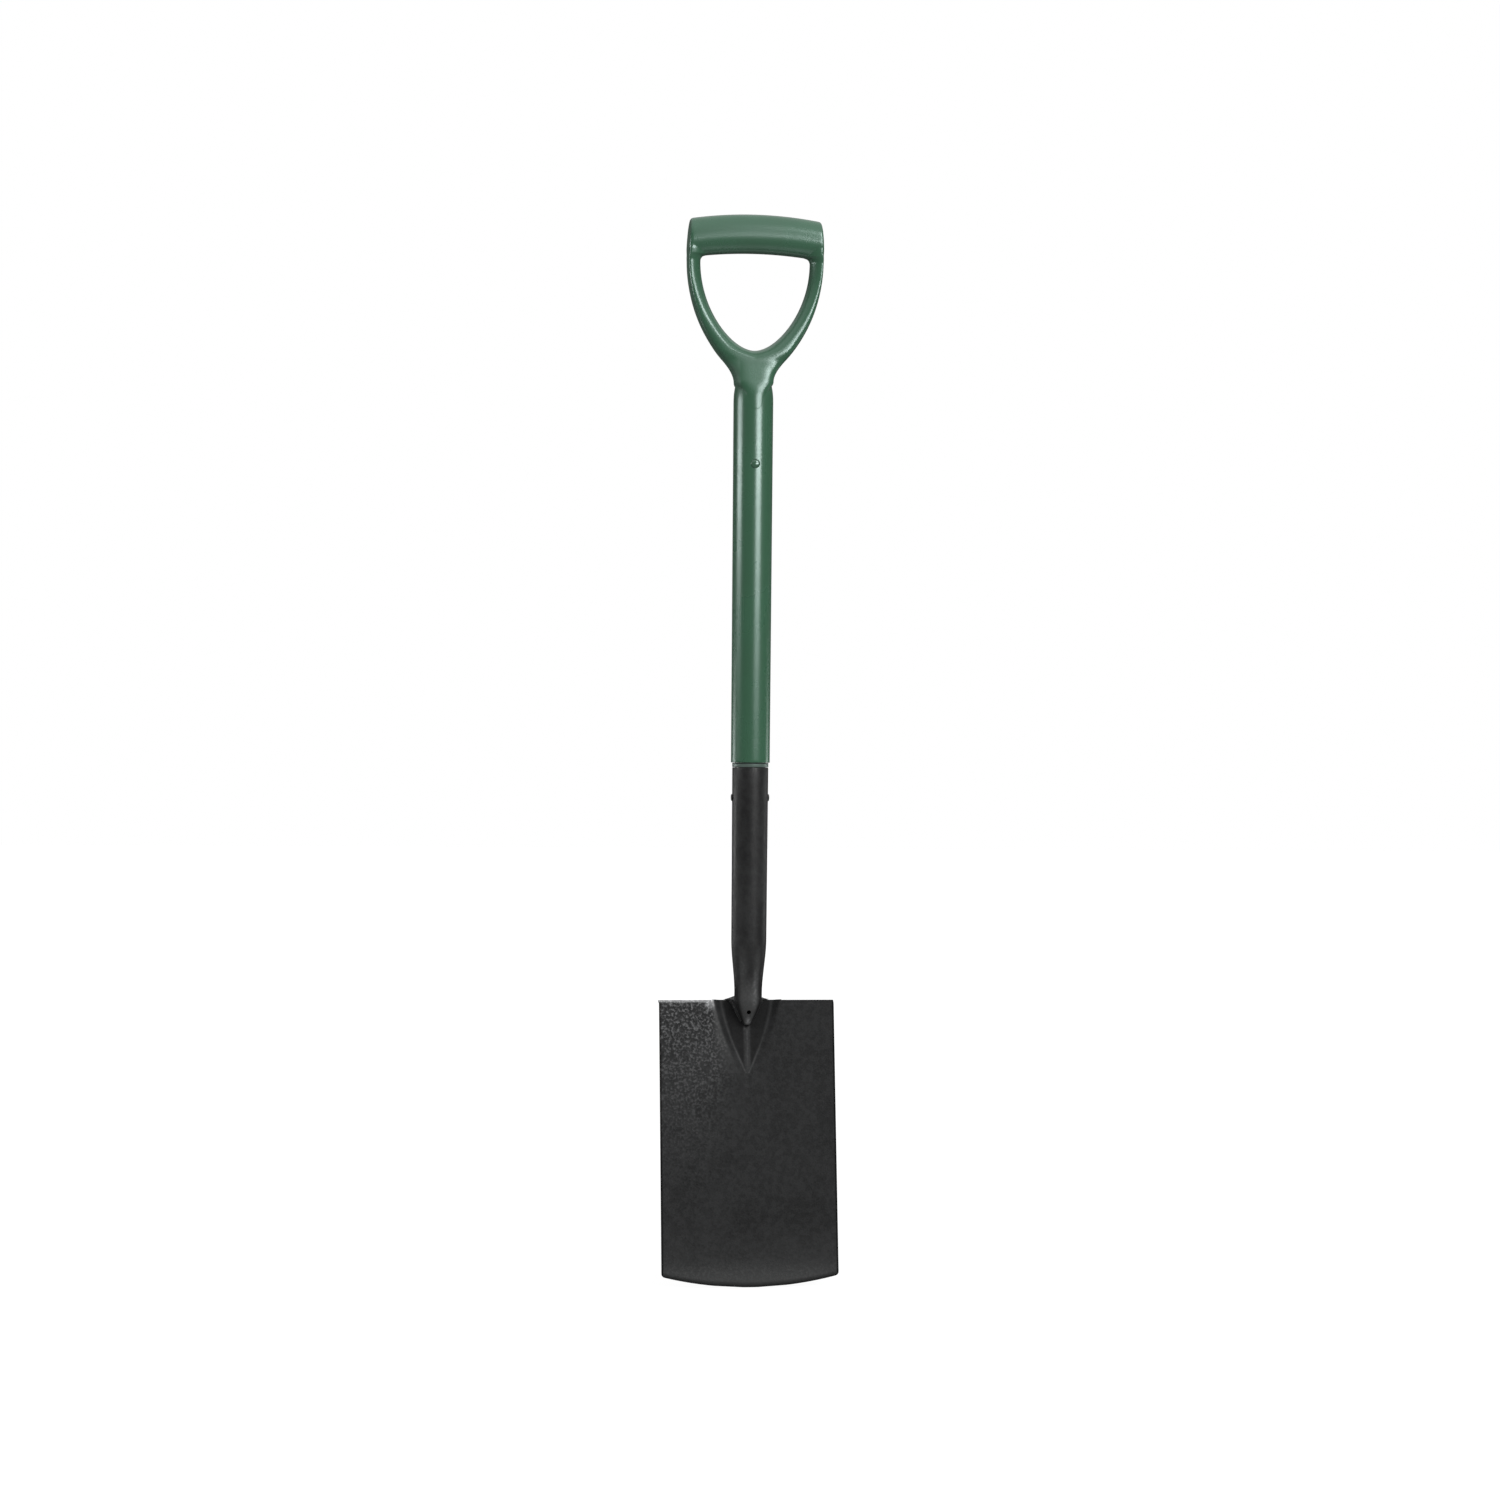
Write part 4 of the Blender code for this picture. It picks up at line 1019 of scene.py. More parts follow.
@dataclass
class WeldBead:
    """A fillet weld beside the socket's nose: a hollow fillet under a chain of ripples."""

    socket: Socket
    reach_wing: float = 0.0108
    reach_top: float = 0.0034
    reach_end: float = 0.0013
    cap: float = 0.0045
    wing: float = 0.0016
    share: float = 0.88
    side_angle: float = math.radians(20)
    top_angle: float = math.radians(52)
    hollow: float = 0.2
    ripple_pitch: float = 0.0017
    ripple_radius: float = 0.0023
    voxel: float = 0.00024

    def spread(self, z: float) -> tuple[float, float]:
        """How the weld lies at a level: it runs out into a wing at the tread and dies away above it.

        Args:
            z: the level.

        Returns:
            How far it runs out, and the angle at which it starts behind the socket's side.
        """
        fall = self.socket.blade.tread_z - z
        if fall < 0:
            rise = min(1.0, -fall / self.cap)
            return mix(self.reach_wing, 0.0004, math.sqrt(rise)), mix(self.side_angle, self.top_angle, rise)
        down = fall / (self.socket.blade.nose_length * self.share)
        wing = (self.reach_wing - self.reach_top) * math.exp(-fall / self.wing)
        return mix(self.reach_top, self.reach_end, down) + wing, self.side_angle

    def section(self, side: int, z: float) -> list[Vector]:
        """The fillet's outline at a level, run on into the socket and the sheet.

        Args:
            side: -1 for the left weld, 1 for the right one.
            z: the level.

        Returns:
            The outline.
        """
        socket = self.socket
        radius = socket.radius(z)
        middle = socket.middle_y(z)
        floor = socket.floor_y(z)
        reach, angle = self.spread(z)
        start = Vector((math.cos(angle), math.sin(angle))) * radius + Vector((0, middle))
        end = Vector((start.x + reach, floor))
        bend = Vector((start.x + reach * self.hollow, floor - (floor - start.y) * self.hollow))
        arc = [
            bezier(start, start.lerp(bend, 2 / 3), end.lerp(bend, 2 / 3), end, i / 8) for i in range(9)
        ]
        into_sheet = floor + 0.0006
        arc += [
            Vector((end.x, into_sheet)),
            Vector((radius * 0.2, into_sheet)),
            Vector((radius * 0.2, middle + radius * 0.75)),
            Vector((start.x * 0.85, middle + (start.y - middle) * 0.85)),
        ]
        return [Vector((side * p.x, p.y, z)) for p in arc]

    def fillet(self, side: int) -> bmesh.types.BMesh:
        """The fillet's body.

        Args:
            side: -1 for the left weld, 1 for the right one.

        Returns:
            Its skin.
        """
        tread_z = self.socket.blade.tread_z
        rises = [self.cap * (1 - i / 10) ** 1.6 for i in range(10)]
        falls = [self.socket.blade.nose_length * self.share * (i / 24) ** 1.4 for i in range(25)]
        return loft([self.section(side, tread_z + up) for up in rises + [-fall for fall in falls]])

    def path(self, side: int) -> bmesh.types.BMesh:
        """The line that the ripples follow, as a chain of edges."""
        bm = bmesh.new()
        tread_z = self.socket.blade.tread_z
        previous = None
        steps = 24
        for i in range(steps + 1):
            share = i / steps
            z = tread_z - self.socket.blade.nose_length * self.share * mix(0.09, 1.0, share)
            outline = self.section(side, z)
            vertex = bm.verts.new(outline[4].lerp(outline[5], 0.5) + Vector((0, 0.0013, 0)))
            if previous:
                bm.edges.new((previous, vertex))
            previous = vertex
        return bm

    def ripple_tree(self) -> bpy.types.NodeTree:
        """Geometry nodes that lay flattened beads along a chain of edges."""
        group = bpy.data.node_groups.new("weld_ripples", "GeometryNodeTree")
        face = group.interface
        face.new_socket("Geometry", in_out="INPUT", socket_type="NodeSocketGeometry")
        face.new_socket("Pitch", in_out="INPUT", socket_type="NodeSocketFloat")
        face.new_socket("Radius", in_out="INPUT", socket_type="NodeSocketFloat")
        face.new_socket("Finish", in_out="INPUT", socket_type="NodeSocketMaterial")
        face.new_socket("Geometry", in_out="OUTPUT", socket_type="NodeSocketGeometry")
        tree = Tree(group)
        given = tree.node("NodeGroupInput")
        line = tree.node("GeometryNodeMeshToCurve")
        tree.feed(line.inputs["Mesh"], given.outputs["Geometry"])
        even = tree.node("GeometryNodeResampleCurve", mode="LENGTH")
        tree.feed(even.inputs["Curve"], line.outputs["Curve"])
        tree.feed(even.inputs["Length"], given.outputs["Pitch"])
        bead = tree.node("GeometryNodeMeshUVSphere")
        bead.inputs["Segments"].default_value = 20
        bead.inputs["Rings"].default_value = 12
        tree.feed(bead.inputs["Radius"], given.outputs["Radius"])
        along = tree.node("GeometryNodeInputTangent")
        turn = tree.node("FunctionNodeAlignRotationToVector", axis="Z")
        tree.feed(turn.inputs["Vector"], along.outputs["Tangent"])
        vary = tree.node("FunctionNodeRandomValue", data_type="FLOAT")
        vary.inputs["Min"].default_value = 0.88
        vary.inputs["Max"].default_value = 1.1
        vary.inputs["Seed"].default_value = 7
        factor = tree.node("GeometryNodeSplineParameter").outputs["Factor"]
        shrink = tree.math("MULTIPLY", tree.math("MULTIPLY_ADD", factor, -0.45, 1.0), vary.outputs[1])
        size = tree.node("ShaderNodeCombineXYZ")
        tree.feed(size.inputs["X"], shrink)
        tree.feed(size.inputs["Y"], shrink)
        tree.feed(size.inputs["Z"], tree.math("MULTIPLY", shrink, 0.62))
        lay = tree.node("GeometryNodeInstanceOnPoints")
        tree.feed(lay.inputs["Points"], even.outputs["Curve"])
        tree.feed(lay.inputs["Instance"], bead.outputs["Mesh"])
        tree.feed(lay.inputs["Rotation"], turn.outputs["Rotation"])
        tree.feed(lay.inputs["Scale"], size.outputs["Vector"])
        real = tree.node("GeometryNodeRealizeInstances")
        tree.feed(real.inputs["Geometry"], lay.outputs["Instances"])
        dress = tree.node("GeometryNodeSetMaterial")
        tree.feed(dress.inputs["Geometry"], real.outputs["Geometry"])
        tree.feed(dress.inputs["Material"], given.outputs["Finish"])
        out = tree.node("NodeGroupOutput")
        tree.feed(out.inputs["Geometry"], dress.outputs["Geometry"])
        return group

    def build(self, datum: Datum, coat: bpy.types.Material) -> None:
        """Builds and dresses both welds.

        Args:
            datum: where the shaft stands.
            coat: the black coat.
        """
        tree = self.ripple_tree()
        for side, word in ((-1, "left"), (1, "right")):
            ripples = new_object("ripples", self.path(side))
            run_tree(ripples, tree, {"Pitch": self.ripple_pitch, "Radius": self.ripple_radius, "Finish": coat})
            bm = self.fillet(side)
            bm.from_mesh(ripples.data)
            bpy.data.objects.remove(ripples, do_unlink=True)
            obj = new_object("fillet_weld_" + word, bm)
            skin = obj.modifiers.new("skin", "REMESH")
            skin.mode = "VOXEL"
            skin.voxel_size = self.voxel
            ease = obj.modifiers.new("ease", "SMOOTH")
            ease.factor = 0.6
            ease.iterations = 7
            bake_modifiers(obj)
            datum.hand_in(obj, coat, ["weld_" + word], 60.0)


def run_tree(obj: bpy.types.Object, tree: bpy.types.NodeTree, inputs: dict[str, object]) -> bpy.types.Object:
    """Runs a geometry tree on an object and keeps the result as its mesh.

    Args:
        obj: the object.
        tree: the tree.
        inputs: values of the tree's named inputs.

    Returns:
        The same object with a plain mesh.
    """
    modifier = obj.modifiers.new("tree", "NODES")
    modifier.node_group = tree
    for item in tree.interface.items_tree:
        if item.item_type == "SOCKET" and item.in_out == "INPUT" and item.name in inputs:
            modifier[item.identifier] = inputs[item.name]
    return bake_modifiers(obj)


# The shaft


@dataclass
class Collar:
    """The narrow ring between the socket's rim and the sleeve."""

    socket: Socket
    seat: float = 0.0003
    height: float = 0.0041
    wall: float = 0.0025
    edge: float = 0.0004
    painted_shade_band: float = 0.0009
    sides: int = 96

    @property
    def bottom_z(self) -> float:
        """Level of its lower face."""
        return self.socket.rim_z + self.seat

    @property
    def top_z(self) -> float:
        """Level of its upper face."""
        return self.bottom_z + self.height

    def build(self, datum: Datum, finish: bpy.types.Material) -> None:
        """Builds and dresses the collar.

        Args:
            datum: where the shaft stands.
            finish: the collar's plastic.
        """
        outer = self.socket.bore + self.wall
        profile = [(self.socket.bore, self.bottom_z)]
        for k in range(4):
            a = math.pi / 2 * k / 3
            profile.append((outer - self.edge * (1 - math.sin(a)), self.bottom_z + self.edge * (1 - math.cos(a))))
        profile += [(outer, self.top_z - self.painted_shade_band * 1.3), (outer, self.top_z - self.painted_shade_band)]
        for k in range(4):
            a = math.pi / 2 * k / 3
            profile.append((outer - self.edge * (1 - math.cos(a)), self.top_z - self.edge * (1 - math.sin(a))))
        profile.append((self.socket.bore, self.top_z))
        rings = [circle(radius, z, 0.0, self.sides) for radius, z in profile]
        bm = loft(rings + [rings[0]], caps=False)
        bmesh.ops.remove_doubles(bm, verts=bm.verts, dist=0.000001)
        bmesh.ops.recalc_face_normals(bm, faces=bm.faces)
        obj = new_object("joint_collar", bm)
        # Painted shade in a band at the top, where the sleeve meets the collar.
        painted_shade_band = obj.data.attributes.new("painted_shade_band", "FLOAT", "POINT")
        for i, vertex in enumerate(obj.data.vertices):
            painted_shade_band.data[i].value = 1.0 if vertex.co.z > self.top_z - self.painted_shade_band * 1.1 else 0.0
        datum.hand_in(obj, finish, ["shaft_collar"])


@dataclass
class Sleeve:
    """The long plastic sleeve: it widens slowly upwards and ends in a dome round the grip's neck."""

    collar: Collar
    length: float = 0.3552
    wall_top: float = 0.0043
    wall_low: float = 0.0038
    dome_slope: float = 0.039
    dome_cut: float = 0.026
    end_round: float = 0.0006
    rivet_drop: float = 0.0626
    rivet_head: float = 0.0085
    rivet_seat: float = 0.0012
    shell: float = 0.0034
    around: int = 120
    along: int = 130

    @property
    def start_z(self) -> float:
        """Level of its lower end."""
        return self.collar.top_z + self.collar.seat

    @property
    def dome_z(self) -> float:
        """Level where the dome starts."""
        return self.start_z + self.length

    @property
    def rivet_z(self) -> float:
        """Level of the rivet that holds the grip."""
        return self.dome_z - self.rivet_drop

    @property
    def radius_top(self) -> float:
        """Radius where the dome starts."""
        return self.collar.socket.bore + self.wall_top

    @property
    def radius_low(self) -> float:
        """Radius of its lower end."""
        return self.collar.socket.bore + self.wall_low

    def radius(self, z: float) -> float:
        """Outer radius at a level below the dome."""
        return mix(self.radius_low, self.radius_top, (z - self.start_z) / self.length)

    def tree(self) -> bpy.types.NodeTree:
        """Geometry nodes that roll a grid into a tapered tube with a domed end."""
        group = bpy.data.node_groups.new("domed_tube", "GeometryNodeTree")
        face = group.interface
        for name in ("Start", "Length", "Lower Radius", "Upper Radius", "Dome Slope", "Dome Height"):
            face.new_socket(name, in_out="INPUT", socket_type="NodeSocketFloat")
        for name in ("Around", "Along"):
            face.new_socket(name, in_out="INPUT", socket_type="NodeSocketInt")
        face.new_socket("Finish", in_out="INPUT", socket_type="NodeSocketMaterial")
        face.new_socket("Geometry", in_out="OUTPUT", socket_type="NodeSocketGeometry")
        tree = Tree(group)
        given = tree.node("NodeGroupInput").outputs
        grid = tree.node("GeometryNodeMeshGrid")
        grid.inputs["Size X"].default_value = 1.0
        grid.inputs["Size Y"].default_value = 1.0
        tree.feed(grid.inputs["Vertices X"], tree.math("ADD", given["Around"], 1.0))
        tree.feed(grid.inputs["Vertices Y"], given["Along"])
        where = tree.node("ShaderNodeSeparateXYZ")
        tree.feed(where.inputs["Vector"], tree.node("GeometryNodeInputPosition").outputs["Position"])
        turn = tree.math("MULTIPLY", where.outputs["X"], 2 * math.pi)
        whole = tree.math("ADD", given["Length"], given["Dome Height"])
        rise = tree.math("MULTIPLY", tree.math("ADD", where.outputs["Y"], 0.5), whole)
        below = tree.math("MINIMUM", rise, given["Length"])
        over = tree.math("MAXIMUM", tree.math("SUBTRACT", rise, given["Length"]), 0.0)
        taper = tree.math("SUBTRACT", given["Upper Radius"], given["Lower Radius"])
        share = tree.math("DIVIDE", below, given["Length"])
        plain = tree.math("MULTIPLY_ADD", taper, share, given["Lower Radius"])
        slope = tree.math("DIVIDE", over, given["Dome Slope"])
        shrink = tree.math("SQRT", tree.math("SUBTRACT", 1.0, tree.math("MULTIPLY", slope, slope)))
        radius = tree.math("MULTIPLY", plain, shrink)
        place = tree.node("ShaderNodeCombineXYZ")
        tree.feed(place.inputs["X"], tree.math("MULTIPLY", radius, tree.math("COSINE", turn)))
        tree.feed(place.inputs["Y"], tree.math("MULTIPLY", radius, tree.math("SINE", turn)))
        tree.feed(place.inputs["Z"], tree.math("ADD", rise, given["Start"]))
        roll = tree.node("GeometryNodeSetPosition")
        tree.feed(roll.inputs["Geometry"], grid.outputs["Mesh"])
        tree.feed(roll.inputs["Position"], place.outputs["Vector"])
        weld = tree.node("GeometryNodeMergeByDistance")
        tree.feed(weld.inputs["Geometry"], roll.outputs["Geometry"])
        weld.inputs["Distance"].default_value = 0.00001
        real = tree.node("GeometryNodeRealizeInstances")
        tree.feed(real.inputs["Geometry"], weld.outputs["Geometry"])
        dress = tree.node("GeometryNodeSetMaterial")
        tree.feed(dress.inputs["Geometry"], real.outputs["Geometry"])
        tree.feed(dress.inputs["Material"], given["Finish"])
        out = tree.node("NodeGroupOutput")
        tree.feed(out.inputs["Geometry"], dress.outputs["Geometry"])
        return group

    def build(self, datum: Datum, grip: "Grip", green: bpy.types.Material) -> None:
        """Builds and dresses the sleeve.

        Args:
            datum: where the shaft stands.
            grip: the grip whose neck is let into it.
            green: the green plastic.
        """
        obj = new_object("shaft_cover", bmesh.new())
        run_tree(
            obj,
            self.tree(),
            {
                "Start": self.start_z,
                "Length": self.length,
                "Lower Radius": self.radius_low,
                "Upper Radius": self.radius_top,
                "Dome Slope": self.dome_slope,
                "Dome Height": self.dome_cut,
                "Around": self.around,
                "Along": self.along,
                "Finish": green,
            },
        )
        bm = bmesh.new()
        bm.from_mesh(obj.data)
        bmesh.ops.recalc_face_normals(bm, faces=bm.faces)
        bm.faces.ensure_lookup_table()
        sample = bm.faces[0]
        middle = sample.calc_center_median()
        if sample.normal.x * middle.x + sample.normal.y * middle.y < 0:
            bmesh.ops.reverse_faces(bm, faces=bm.faces)
        bm.to_mesh(obj.data)
        bm.free()
        wall = obj.modifiers.new("wall", "SOLIDIFY")
        wall.thickness = self.shell
        wall.offset = -1.0
        bake_modifiers(obj)
        round_edges(obj, self.end_round, 60.0, 3)
        cut(obj, grip.neck_tool())
        seat = self.rivet_head / 2 + 0.0003
        for side in (-1, 1):
            inner = Vector((0, side * (self.radius(self.rivet_z) - self.rivet_seat), self.rivet_z))
            cut(obj, rod(seat, inner, inner + Vector((0, side * 0.01, 0)), 64))
        datum.hand_in(obj, green, ["shaft_sleeve"], 38.0)


# The grip


@dataclass
class Grip:
    """The D grip in one moulding: bar, legs, neck and tongues."""

    sleeve: Sleeve
    neck_length: float = 0.0503
    opening_height: float = 0.0956
    opening_half: float = 0.0543
    opening_corner: float = 0.006
    bar_height: float = 0.0383
    bar_depth: float = 0.032
    bar_crown: float = 0.0028
    half_width: float = 0.06745
    end_lean: float = 0.0024
    end_round: float = 0.0026
    leg_depth: float = 0.0225
    yoke_half: float = 0.0313
    yoke_drop: float = 0.0093
    yoke_depth: float = 0.0275
    ridge_drop: float = 0.0100
    tongue_half: float = 0.0108
    tongue_drop: float = 0.010
    tongue_proud: float = 0.0001
    bar_roundness: float = 2.25
    leg_roundness: float = 2.3
    low_roundness: float = 3.1
    inner_roundness: float = 1.8
    tongue_roundness: float = 8.0
    side_pull: float = 0.55
    foot_pull: float = 0.4
    leg_side_pull: float = 0.42
    leg_foot_pull: float = 0.23
    leg_flare: float = 0.9
    leg_spacing: float = 1.5
    neck_flare: float = 0.0055
    waist_half: float = 0.019
    waist_rise: float = 0.0187
    ridge_high: float = 0.88
    ridge_low: float = 0.54
    neck_roundness: float = 4.0
    sink_from: float = 0.0215
    sink_to: float = 0.002
    knuckle_depth: float = 0.0296
    seam: float = -0.00012
    askew: float = 0.0006
    voxel: float = 0.00063
    quarter: int = 18
    bar_steps: int = 28
    corner_steps: int = 8
    leg_steps: int = 44
    neck_steps: int = 34

    @property
    def crotch_z(self) -> float:
        """Level of the opening's lowest point."""
        return self.sleeve.dome_z + self.neck_length

    @property
    def bar_under_z(self) -> float:
        """Level of the bar's underside, in the middle."""
        return self.crotch_z + self.opening_height

    @property
    def top_z(self) -> float:
        """Level of the grip's top."""
        return self.bar_under_z + self.bar_height

    @property
    def yoke(self) -> Vector:
        """Where a leg's outside meets the neck, in XZ."""
        return Vector((self.yoke_half, self.crotch_z - self.yoke_drop))

    @property
    def ridge_z(self) -> float:
        """Level where the two legs' front ridges meet."""
        return self.crotch_z - self.ridge_drop

    @property
    def tongue_end_z(self) -> float:
        """Level of the tongue's end."""
        return self.sleeve.dome_z - self.tongue_drop

    @property
    def corner_x(self) -> float:
        """Distance from the middle of the opening's corner centres."""
        return self.opening_half - self.opening_corner

    def bar_fall(self, x: float) -> float:
        """How far the bar has fallen at x from its middle."""
        return self.bar_crown * (x / self.corner_x) ** 2

    def section(
        self, inner: Vector, centre: Vector, outer: Vector, half_depth: float, roundness: float
    ) -> list[Vector]:
        """One ring of the right leg, from the front ridge over the outer side and the back to the inner side.

        Args:
            inner: innermost point, in XZ.
            centre: middle of the ridges, in XZ.
            outer: outermost point, in XZ.
            half_depth: from the middle to a ridge.
            roundness: of the outer side; 2 gives an ellipse, more a squarer ring.

        Returns:
            The ring.
        """
        count = 4 * self.quarter
        ring = []
        for i in range(count):
            is_outer = 2 * i <= count
            ahead, aside = squircle(2 * math.pi * i / count, roundness if is_outer else self.inner_roundness)
            x, z = centre + ((outer if is_outer else inner) - centre) * abs(aside)
            ring.append(Vector((x, -half_depth * ahead, z)))
        return ring

    def bar_skin(self) -> bmesh.types.BMesh:
        """The bar: a crowned oval rod with rounded ends that lean inwards at the top."""
        count = 4 * self.quarter
        edge = self.end_round
        straight = self.half_width - edge
        stations = [(straight * (2 * i / self.bar_steps - 1), 0.0) for i in range(self.bar_steps + 1)]
        arc = [math.pi / 2 * k / 6 for k in range(1, 7)]
        right = [(straight + edge * math.sin(a), edge * (1 - math.cos(a))) for a in arc]
        left = [(-x, inset) for x, inset in reversed(right)]
        rings = []
        for x, inset in left + stations + right:
            middle = self.bar_under_z + self.bar_height / 2 - self.bar_fall(x)
            ring = []
            for i in range(count):
                across, up = squircle(2 * math.pi * i / count, self.bar_roundness)
                lean = 1 - self.end_lean / self.half_width * (up + 1) / 2
                ring.append(
                    Vector((x * lean, across * (self.bar_depth / 2 - inset), middle + up * (self.bar_height / 2 - inset)))
                )
            rings.append(ring)
        return loft(rings)

    def leg_top_rings(self) -> list[list[Vector]]:
        """Rings of a leg's top: it runs up into the bar and is filleted to its underside."""
        x = self.corner_x
        round_z = self.bar_under_z - self.bar_fall(x) - self.opening_corner
        top = round_z + self.opening_corner
        knuckle = self.knuckle_depth
        levels = [
            (x + 0.002, self.half_width - 0.0045, top + 0.0135, knuckle * 0.72),
            (x + 0.001, self.half_width - 0.0022, top + 0.0118, knuckle * 0.9),
            (x, self.half_width - 0.001, top + 0.0085, knuckle),
            (x, self.half_width - 0.0004, top + 0.0045, knuckle * 0.985),
        ]
        for k in range(self.corner_steps):
            a = math.pi / 2 * (1 - k / self.corner_steps)
            inner = x + self.opening_corner * math.cos(a)
            depth = mix(self.leg_depth + 0.001, knuckle * 0.93, math.sin(a))
            levels.append((inner, self.half_width, round_z + self.opening_corner * math.sin(a), depth))
        rings = []
        for inner, outer, z, depth in levels:
            centre = Vector((mix(inner, outer, self.ridge_high), z))
            rings.append(self.section(Vector((inner, z)), centre, Vector((outer, z)), depth / 2, self.leg_roundness))
        return rings

    def leg_rings(self) -> list[list[Vector]]:
        """Rings down a leg, to where the two legs meet under the opening."""
        top = self.bar_under_z - self.bar_fall(self.corner_x) - self.opening_corner
        fall = top - self.crotch_z
        inside = (
            Vector((self.opening_half, top)),
            Vector((self.opening_half, top - fall * self.side_pull)),
            Vector((self.opening_half * self.foot_pull, self.crotch_z)),
            Vector((0.0, self.crotch_z)),
        )
        outer_fall = top - self.yoke.y
        flare = Vector((self.leg_flare, 1.0))
        outside = (
            Vector((self.half_width, top)),
            Vector((self.half_width, top - outer_fall * self.leg_side_pull)),
            self.yoke + flare * (outer_fall * self.leg_foot_pull),
            self.yoke,
        )
        meeting = Vector((0.0, self.ridge_z))
        rings = []
        for i in range(self.leg_steps + 1):
            t = i / self.leg_steps
            inner = bezier(*inside, t)
            outer = bezier(*outside, 1 - (1 - t) ** self.leg_spacing)
            centre = inner.lerp(outer, mix(self.ridge_high, self.ridge_low, smoothstep((t + 0.1) / 0.7)))
            centre = centre.lerp(meeting, smoothstep((t - 0.78) / 0.22))
            depth = mix(self.leg_depth, self.yoke_depth, smoothstep((t - 0.4) / 0.6))
            depth += 0.001 * (1 - smoothstep(t / 0.15))
            roundness = mix(self.leg_roundness, self.low_roundness, smoothstep((t - 0.15) / 0.3))
            roundness = mix(roundness, self.neck_roundness, smoothstep((t - 0.6) / 0.35))
            rings.append(self.section(inner, centre, outer, depth / 2, roundness))
        return rings

    def neck_outline(self, z: float) -> float:
        """Half width of the neck and tongue at a level: a flare to the waist, then a taper to the tongue."""
        waist = Vector((self.waist_half, self.sleeve.dome_z + self.waist_rise))
        if z > waist.y:
            flare = self.yoke - Vector((0.9, 1.0)) * self.neck_flare
            line = (self.yoke, flare, waist + Vector((0.0, 0.0085)), waist)
        else:
            end = Vector((self.tongue_half, self.sleeve.dome_z - self.tongue_drop * 0.2))
            line = (waist, waist - Vector((0.0, 0.004)), end + Vector((0.0, 0.0122)), end)
        before, after = 0.0, 1.0
        for _ in range(40):
            t = (before + after) / 2
            if bezier(*line, t).y > z:
                before = t
            else:
                after = t
        return bezier(*line, after).x

    def neck_section(self, z: float, grow: float = 0.0) -> list[Vector]:
        """A level half ring of the neck, which sinks to the tube's own curve in the tongue.

        Args:
            z: the level.
            grow: how far it is grown on all sides, for a tool.

        Returns:
            The ring.
        """
        down = (self.ridge_z - z) / (self.ridge_z - self.sleeve.dome_z)
        tube = self.sleeve.radius_top
        depth = mix(self.yoke_depth / 2, tube + self.tongue_proud, smoothstep(down * 1.1))
        above = z - self.sleeve.dome_z
        sunk = smoothstep((self.sink_from - above) / (self.sink_from - self.sink_to))
        roundness = mix(self.neck_roundness, self.tongue_roundness, sunk)
        half = self.neck_outline(z)
        if z < self.sleeve.dome_z:
            share = (self.sleeve.dome_z - z) / self.tongue_drop
            half = max(half * math.sqrt(max(0.0, 1 - share**2)), self.tongue_half * 0.12)
        ring = []
        for i in range(2 * self.quarter + 1):
            ahead, aside = squircle(math.pi * i / (2 * self.quarter), roundness)
            x = (half + grow) * abs(aside)
            crown = math.sqrt(1 - sunk * (min(x, tube * 0.97) / tube) ** 2)
            ring.append(Vector((x, -(depth + grow) * crown * ahead, z)))
        return ring

    def neck_levels(self) -> list[float]:
        """Levels of the neck's level rings, from where the ridges meet to the tongue's end."""
        dome = self.sleeve.dome_z
        top = self.ridge_z - 0.001
        levels = [mix(top, dome, i / self.neck_steps) for i in range(self.neck_steps + 1)]
        ends = [math.sin(math.pi / 2 * k / 12) for k in range(1, 13)]
        return levels + [dome - self.tongue_drop * share for share in ends]

    def neck_tool(self) -> bmesh.types.BMesh:
        """The neck, closed and grown by its seam, to cut its seat out of the sleeve.

        The seam is a little less than nothing, so the sleeve laps under the tongue's rounded edge.
        """
        rings = []
        for z in self.neck_levels():
            half = self.neck_section(z, self.seam)
            rings.append(half + [Vector((-p.x, p.y, p.z)) for p in reversed(half[1:-1])])
        return loft(rings)

    def half_skin(self) -> bmesh.types.BMesh:
        """The right leg with half the neck, open on the middle plane."""
        whole = self.leg_top_rings() + self.leg_rings()
        halves = [self.neck_section(z) for z in self.neck_levels()]
        bm = bmesh.new()
        around = 4 * self.quarter
        rows = [[bm.verts.new(p) for p in ring] for ring in whole + halves]
        for low, high in zip(rows, rows[1:]):
            both_whole = len(low) == around and len(high) == around
            for i in range(around if both_whole else around // 2):
                j = (i + 1) % around
                bm.faces.new((low[i], low[j], high[j], high[i]))
        bm.faces.new(rows[0])
        bm.faces.new(rows[-1])
        for vertex in bm.verts:
            if abs(vertex.co.x) < 1e-6:
                vertex.co.x = 0.0
        bmesh.ops.recalc_face_normals(bm, faces=bm.faces)
        return bm

    def build(self, datum: Datum, green: bpy.types.Material) -> None:
        """Builds and dresses the grip.

        Args:
            datum: where the shaft stands.
            green: the green plastic.
        """
        obj = new_object("moulded_grip", self.half_skin())
        mirror = obj.modifiers.new("other_half", "MIRROR")
        mirror.use_clip = True
        mirror.merge_threshold = 0.00001
        bake_modifiers(obj)
        whole = self.bar_skin()
        whole.from_mesh(obj.data)
        whole.to_mesh(obj.data)
        whole.free()
        skin = obj.modifiers.new("skin", "REMESH")
        skin.mode = "VOXEL"
        skin.voxel_size = self.voxel
        ease = obj.modifiers.new("ease", "SMOOTH")
        ease.factor = 0.5
        ease.iterations = 9
        bake_modifiers(obj)
        for vertex in obj.data.vertices:
            up = (vertex.co.z - self.sleeve.dome_z) / (self.bar_under_z - self.sleeve.dome_z)
            vertex.co.x += self.askew * smoothstep(up)
        self.mark(obj.data)
        datum.hand_in(obj, green, ["d_handle"], 60.0)

